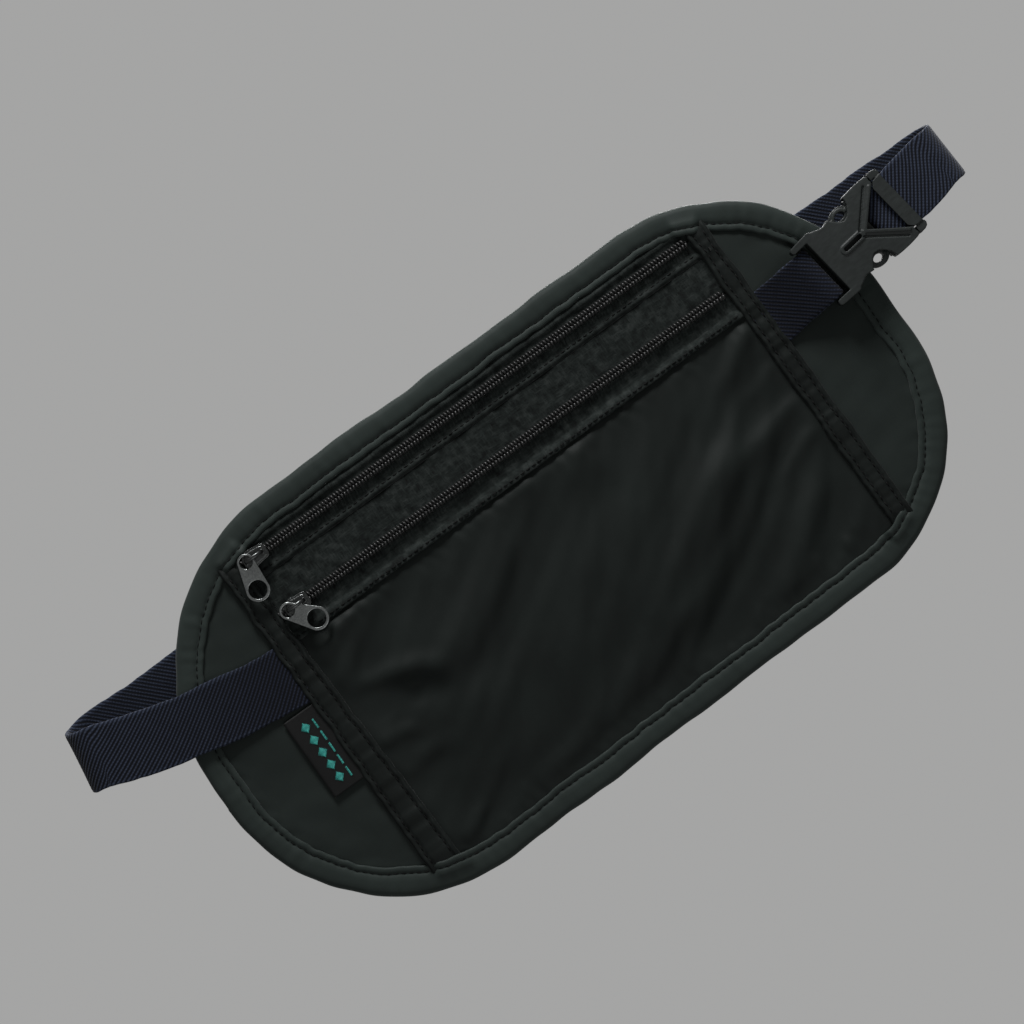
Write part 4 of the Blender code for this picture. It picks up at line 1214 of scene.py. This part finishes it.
def webbing(name, path, widths, leans, slant, spacing=0.42):
    """Woven elastic along a path: slanted ribs on both faces and a smooth bead along each edge.

    widths and leans are values at the path's own points, carried along with it."""
    raw = np.array([tuple(p) for p in path], float)
    steps = np.concatenate([[0], np.cumsum(np.linalg.norm(np.diff(raw, axis=0), axis=1))])
    points, places = resampled(path, spacing)
    points = softened(points, 6)
    width = np.interp(places, steps, widths)
    lean = softened(np.interp(places, steps, leans)[:, None], 40)[:, 0]
    along = np.gradient(points, axis=0)
    along /= np.linalg.norm(along, axis=1)[:, None]
    upright = np.stack([np.sin(lean), np.zeros(len(lean)), np.cos(lean)], axis=1)
    across = upright - (upright * along).sum(1)[:, None] * along
    across /= np.linalg.norm(across, axis=1)[:, None]
    out = np.cross(across, along)
    half = width.max() / 2
    middle_lanes = np.linspace(-0.96, 0.96, int(2 * half / spacing))
    lanes = np.concatenate([[-1.0, -0.985], middle_lanes, [0.985, 1.0]])
    count = len(lanes)
    rows = np.zeros((len(points), 2 * count, 3))
    uvs = np.zeros((len(points), 2 * count, 2))
    wander = 0.12 * line_ripples(places, 23, count) + 0.05 * line_ripples(places, 6, count + 1)
    for face in (0, 1):
        for k, lane in enumerate(lanes):
            jitter = 0.5 * ripples(places, places * 0 + lane * width / 2, 4.5, 77)
            v = lane * width / 2 + wander * np.sign(lane) * abs(lane) ** 6
            phase = 2 * math.pi * (places + slant * v) * math.sqrt(0.5) / RIB_PITCH
            inner = smooth((width / 2 * (1 - abs(lane)) - 0.75) / 0.5)
            bead = np.exp(-((width / 2 * (1 - abs(lane)) - 0.45) / 0.4) ** 2)
            knuckle = 0.86 + 0.14 * np.sin(2 * math.pi * (places - slant * v) / 1.5 + jitter)
            rib = 0.24 * inner * knuckle * (0.5 + 0.5 * np.sin(phase + 0.5 * jitter + face * math.pi))
            body = WEBBING / 2 - 0.12
            edge = math.sqrt(max(0.0, 1 - max(0.0, (abs(lane) - 0.955) / 0.045) ** 2))
            height = (body + rib + 0.07 * bead) * max(edge, 0.12)
            sign = 1 if face == 0 else -1
            column = k if face == 0 else 2 * count - 1 - k
            rows[:, column] = points + across * v[:, None] + out * (sign * height)[:, None]
            uvs[:, column, 0] = places * MM
            uvs[:, column, 1] = slant * v * MM
    return swept(name, rows, ELASTIC, False, uvs.reshape(-1, 2))


def spread_values(lengths, values):
    """One value for each point of consecutive stretches."""
    made = []
    for length, value in zip(lengths, values):
        made += [value] * length
    return made


def bar_turn(centre_x, radius, side):
    """Half a turn round a buckle bar; side says towards which end of the buckle it bulges."""
    angles = (math.pi * (step / 16 - 0.5) for step in range(1, 17))
    return [Vector(on_buckle(centre_x + side * radius * math.cos(a), radius * math.sin(a))) for a in angles]


def waist_strap():
    """One length from under the left band, round both bends behind the pouch, to the plug's bars."""
    front = catmull([(-95.5, -4.25, 17.9), (-100.5, -4.25, 18.4), (-113, -4.6, 19.8), (-128, -5.7, 22.4),
                     (-146, -6.6, 26.2), (-160, -6.8, 30.3), (-170, -6.4, 33.8)])
    left_bend = half_turn((-170, 1.6), -8.2, 8.0, (33.8, 38.0))[1:]
    run = catmull([(-160, 9.6, 38.0), (-80, 9.8, 38.0), (0, 9.6, 38.0), (40, 8.8, 38.0), (90, 8.2, 38.0),
                   (174, 8.1, 38.0)])
    right_bend = half_turn((183.6, -0.65), 7.6, 8.75, (35.7, 38.0))[::-1]
    radius = 1.55
    turn_x = 28.9
    clipped = catmull([(177, -10.2, 34.1), (171, -10.3, 32.9), on_buckle(40, -radius), on_buckle(36, -radius),
                       on_buckle(turn_x, -radius)])
    turn = bar_turn(turn_x, radius, -1)
    tail = catmull([on_buckle(32, radius), on_buckle(38, radius), (172, -7.9, 33.1), (181, -7.6, 35.0)])
    stretches = [front, left_bend, run, right_bend, clipped, turn, tail]
    path = [Vector(p) for stretch in stretches for p in stretch]
    lengths = [len(stretch) for stretch in stretches]
    left, right, buckle = math.radians(9), math.radians(-3), -BUCKLE_TILT
    leans = spread_values(lengths, [left] * 3 + [right] + [buckle] * 3)
    widths = spread_values(lengths, [LEFT_STRAP_WIDTH] * 3 + [RIGHT_STRAP_WIDTH] * 4)
    # behind the pouch both change evenly from one side to the other
    first, last = lengths[0] + lengths[1], lengths[2] - 1
    for k in range(lengths[2]):
        leans[first + k] = left + (right - left) * k / last
        widths[first + k] = LEFT_STRAP_WIDTH - (LEFT_STRAP_WIDTH - RIGHT_STRAP_WIDTH) * k / last
    piece = webbing("waist_strap_webbing", path, widths, leans, 1)
    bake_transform(piece)
    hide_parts("strap_left", "strap_adjustable")


def short_strap():
    """Doubled webbing from under the right band round the housing's bar."""
    radius = 1.6
    turn_x = 2.3
    front = catmull([(102.3, -4.25, 23.5), (107.9, -4.25, 24.0), (113, -5.5, 24.6), (120, -8.2, 25.4),
                     (126, -10.3, 26.0), on_buckle(turn_x, -radius)])
    turn = bar_turn(turn_x, radius, 1)
    rear = catmull([on_buckle(1.0, radius), (124, -6.2, 25.8), (118.5, -5.3, 25.2)])
    path = [Vector(p) for p in front + turn + rear]
    widths, leans = [SHORT_STRAP_WIDTH] * len(path), [-BUCKLE_TILT] * len(path)
    piece = webbing("short_strap_webbing", path, widths, leans, 1)
    settle(piece, "root", "elastic_webbing", "strap_short")


# ---------------------------------------------------------------- camera and light

def camera():
    """Looks along +Y, rolled so that the pouch climbs to the right."""
    distance = 0.9
    view_width = 0.3548
    turn_c, turn_s = math.cos(CAMERA_ROLL), math.sin(CAMERA_ROLL)
    made = bpy.data.cameras.new("camera")
    made.sensor_width = 36
    made.lens = 36 * distance / view_width
    made.clip_start, made.clip_end = 0.05, 20
    body = link("camera", made)
    right = Vector((turn_c, 0, -turn_s))
    up = Vector((turn_s, 0, turn_c))
    back = Vector((0, -1, 0))
    basis = Matrix((right, up, back)).transposed().to_4x4()
    body.matrix_world = Matrix.Translation((-0.00478, -0.005 - distance, 0.0206)) @ basis
    bpy.context.scene.camera = body


def area_light(name, place, target, size, power):
    """A round soft light at a place, turned to a target; metres and watts."""
    data = bpy.data.lights.new(name, "AREA")
    data.shape = "DISK"
    data.size = size
    data.energy = power
    made = link(name, data)
    made.location = place
    made.rotation_euler = (Vector(target) - Vector(place)).to_track_quat("-Z", "Y").to_euler()


def studio():
    """Plain backdrop, three soft lights and a plain floor."""
    world = bpy.data.worlds.new("studio")
    world.use_nodes = True
    backdrop = world.node_tree.nodes["Background"]
    backdrop.inputs["Color"].default_value = (0.375, 0.375, 0.372, 1)
    backdrop.inputs["Strength"].default_value = 1.0
    bpy.context.scene.world = world
    bpy.context.scene.view_settings.view_transform = "Standard"
    up = Vector((math.sin(CAMERA_ROLL), 0, math.cos(CAMERA_ROLL)))
    right = Vector((math.cos(CAMERA_ROLL), 0, -math.sin(CAMERA_ROLL)))
    area_light("key", up * 1.05 - right * 0.35 + Vector((0, -0.42, 0)), (0, 0, 0.01), 0.35, 34.0)
    area_light("fill", right * 0.3 - up * 0.5 + Vector((0, -1.0, 0)), (0, 0, 0), 0.6, 3.0)
    area_light("back", up * 0.7 + Vector((0, 0.7, 0)), (0, 0, 0), 0.6, 16.0)
    bpy.ops.mesh.primitive_circle_add(vertices=96, radius=0.35, fill_type="NGON", location=(0, 0, -0.45))
    floor = bpy.context.object
    floor.name = "floor"
    look = Shader("pale_floor", shade(0.24), 0.95, specular=0.02)
    floor.data.materials.append(look.material)


# ---------------------------------------------------------------- assembly

camera()
studio()
edge_binding()
ear("left_ear_cloth", (-144, -96), "left_side_panel", 11)
ear("right_ear_cloth", (105, 144), "right_side_panel", 15)
back_panel()
pocket_divider()
front_panel()
band("left_band_cloth", LEFT_BAND, "left_band")
band("right_band_cloth", RIGHT_BAND, "right_band")
label_tag()
zip_tapes()
zip_coils()
zip_hardware()
buckle_female()
buckle_male()
latch_arms()
waist_strap()
short_strap()
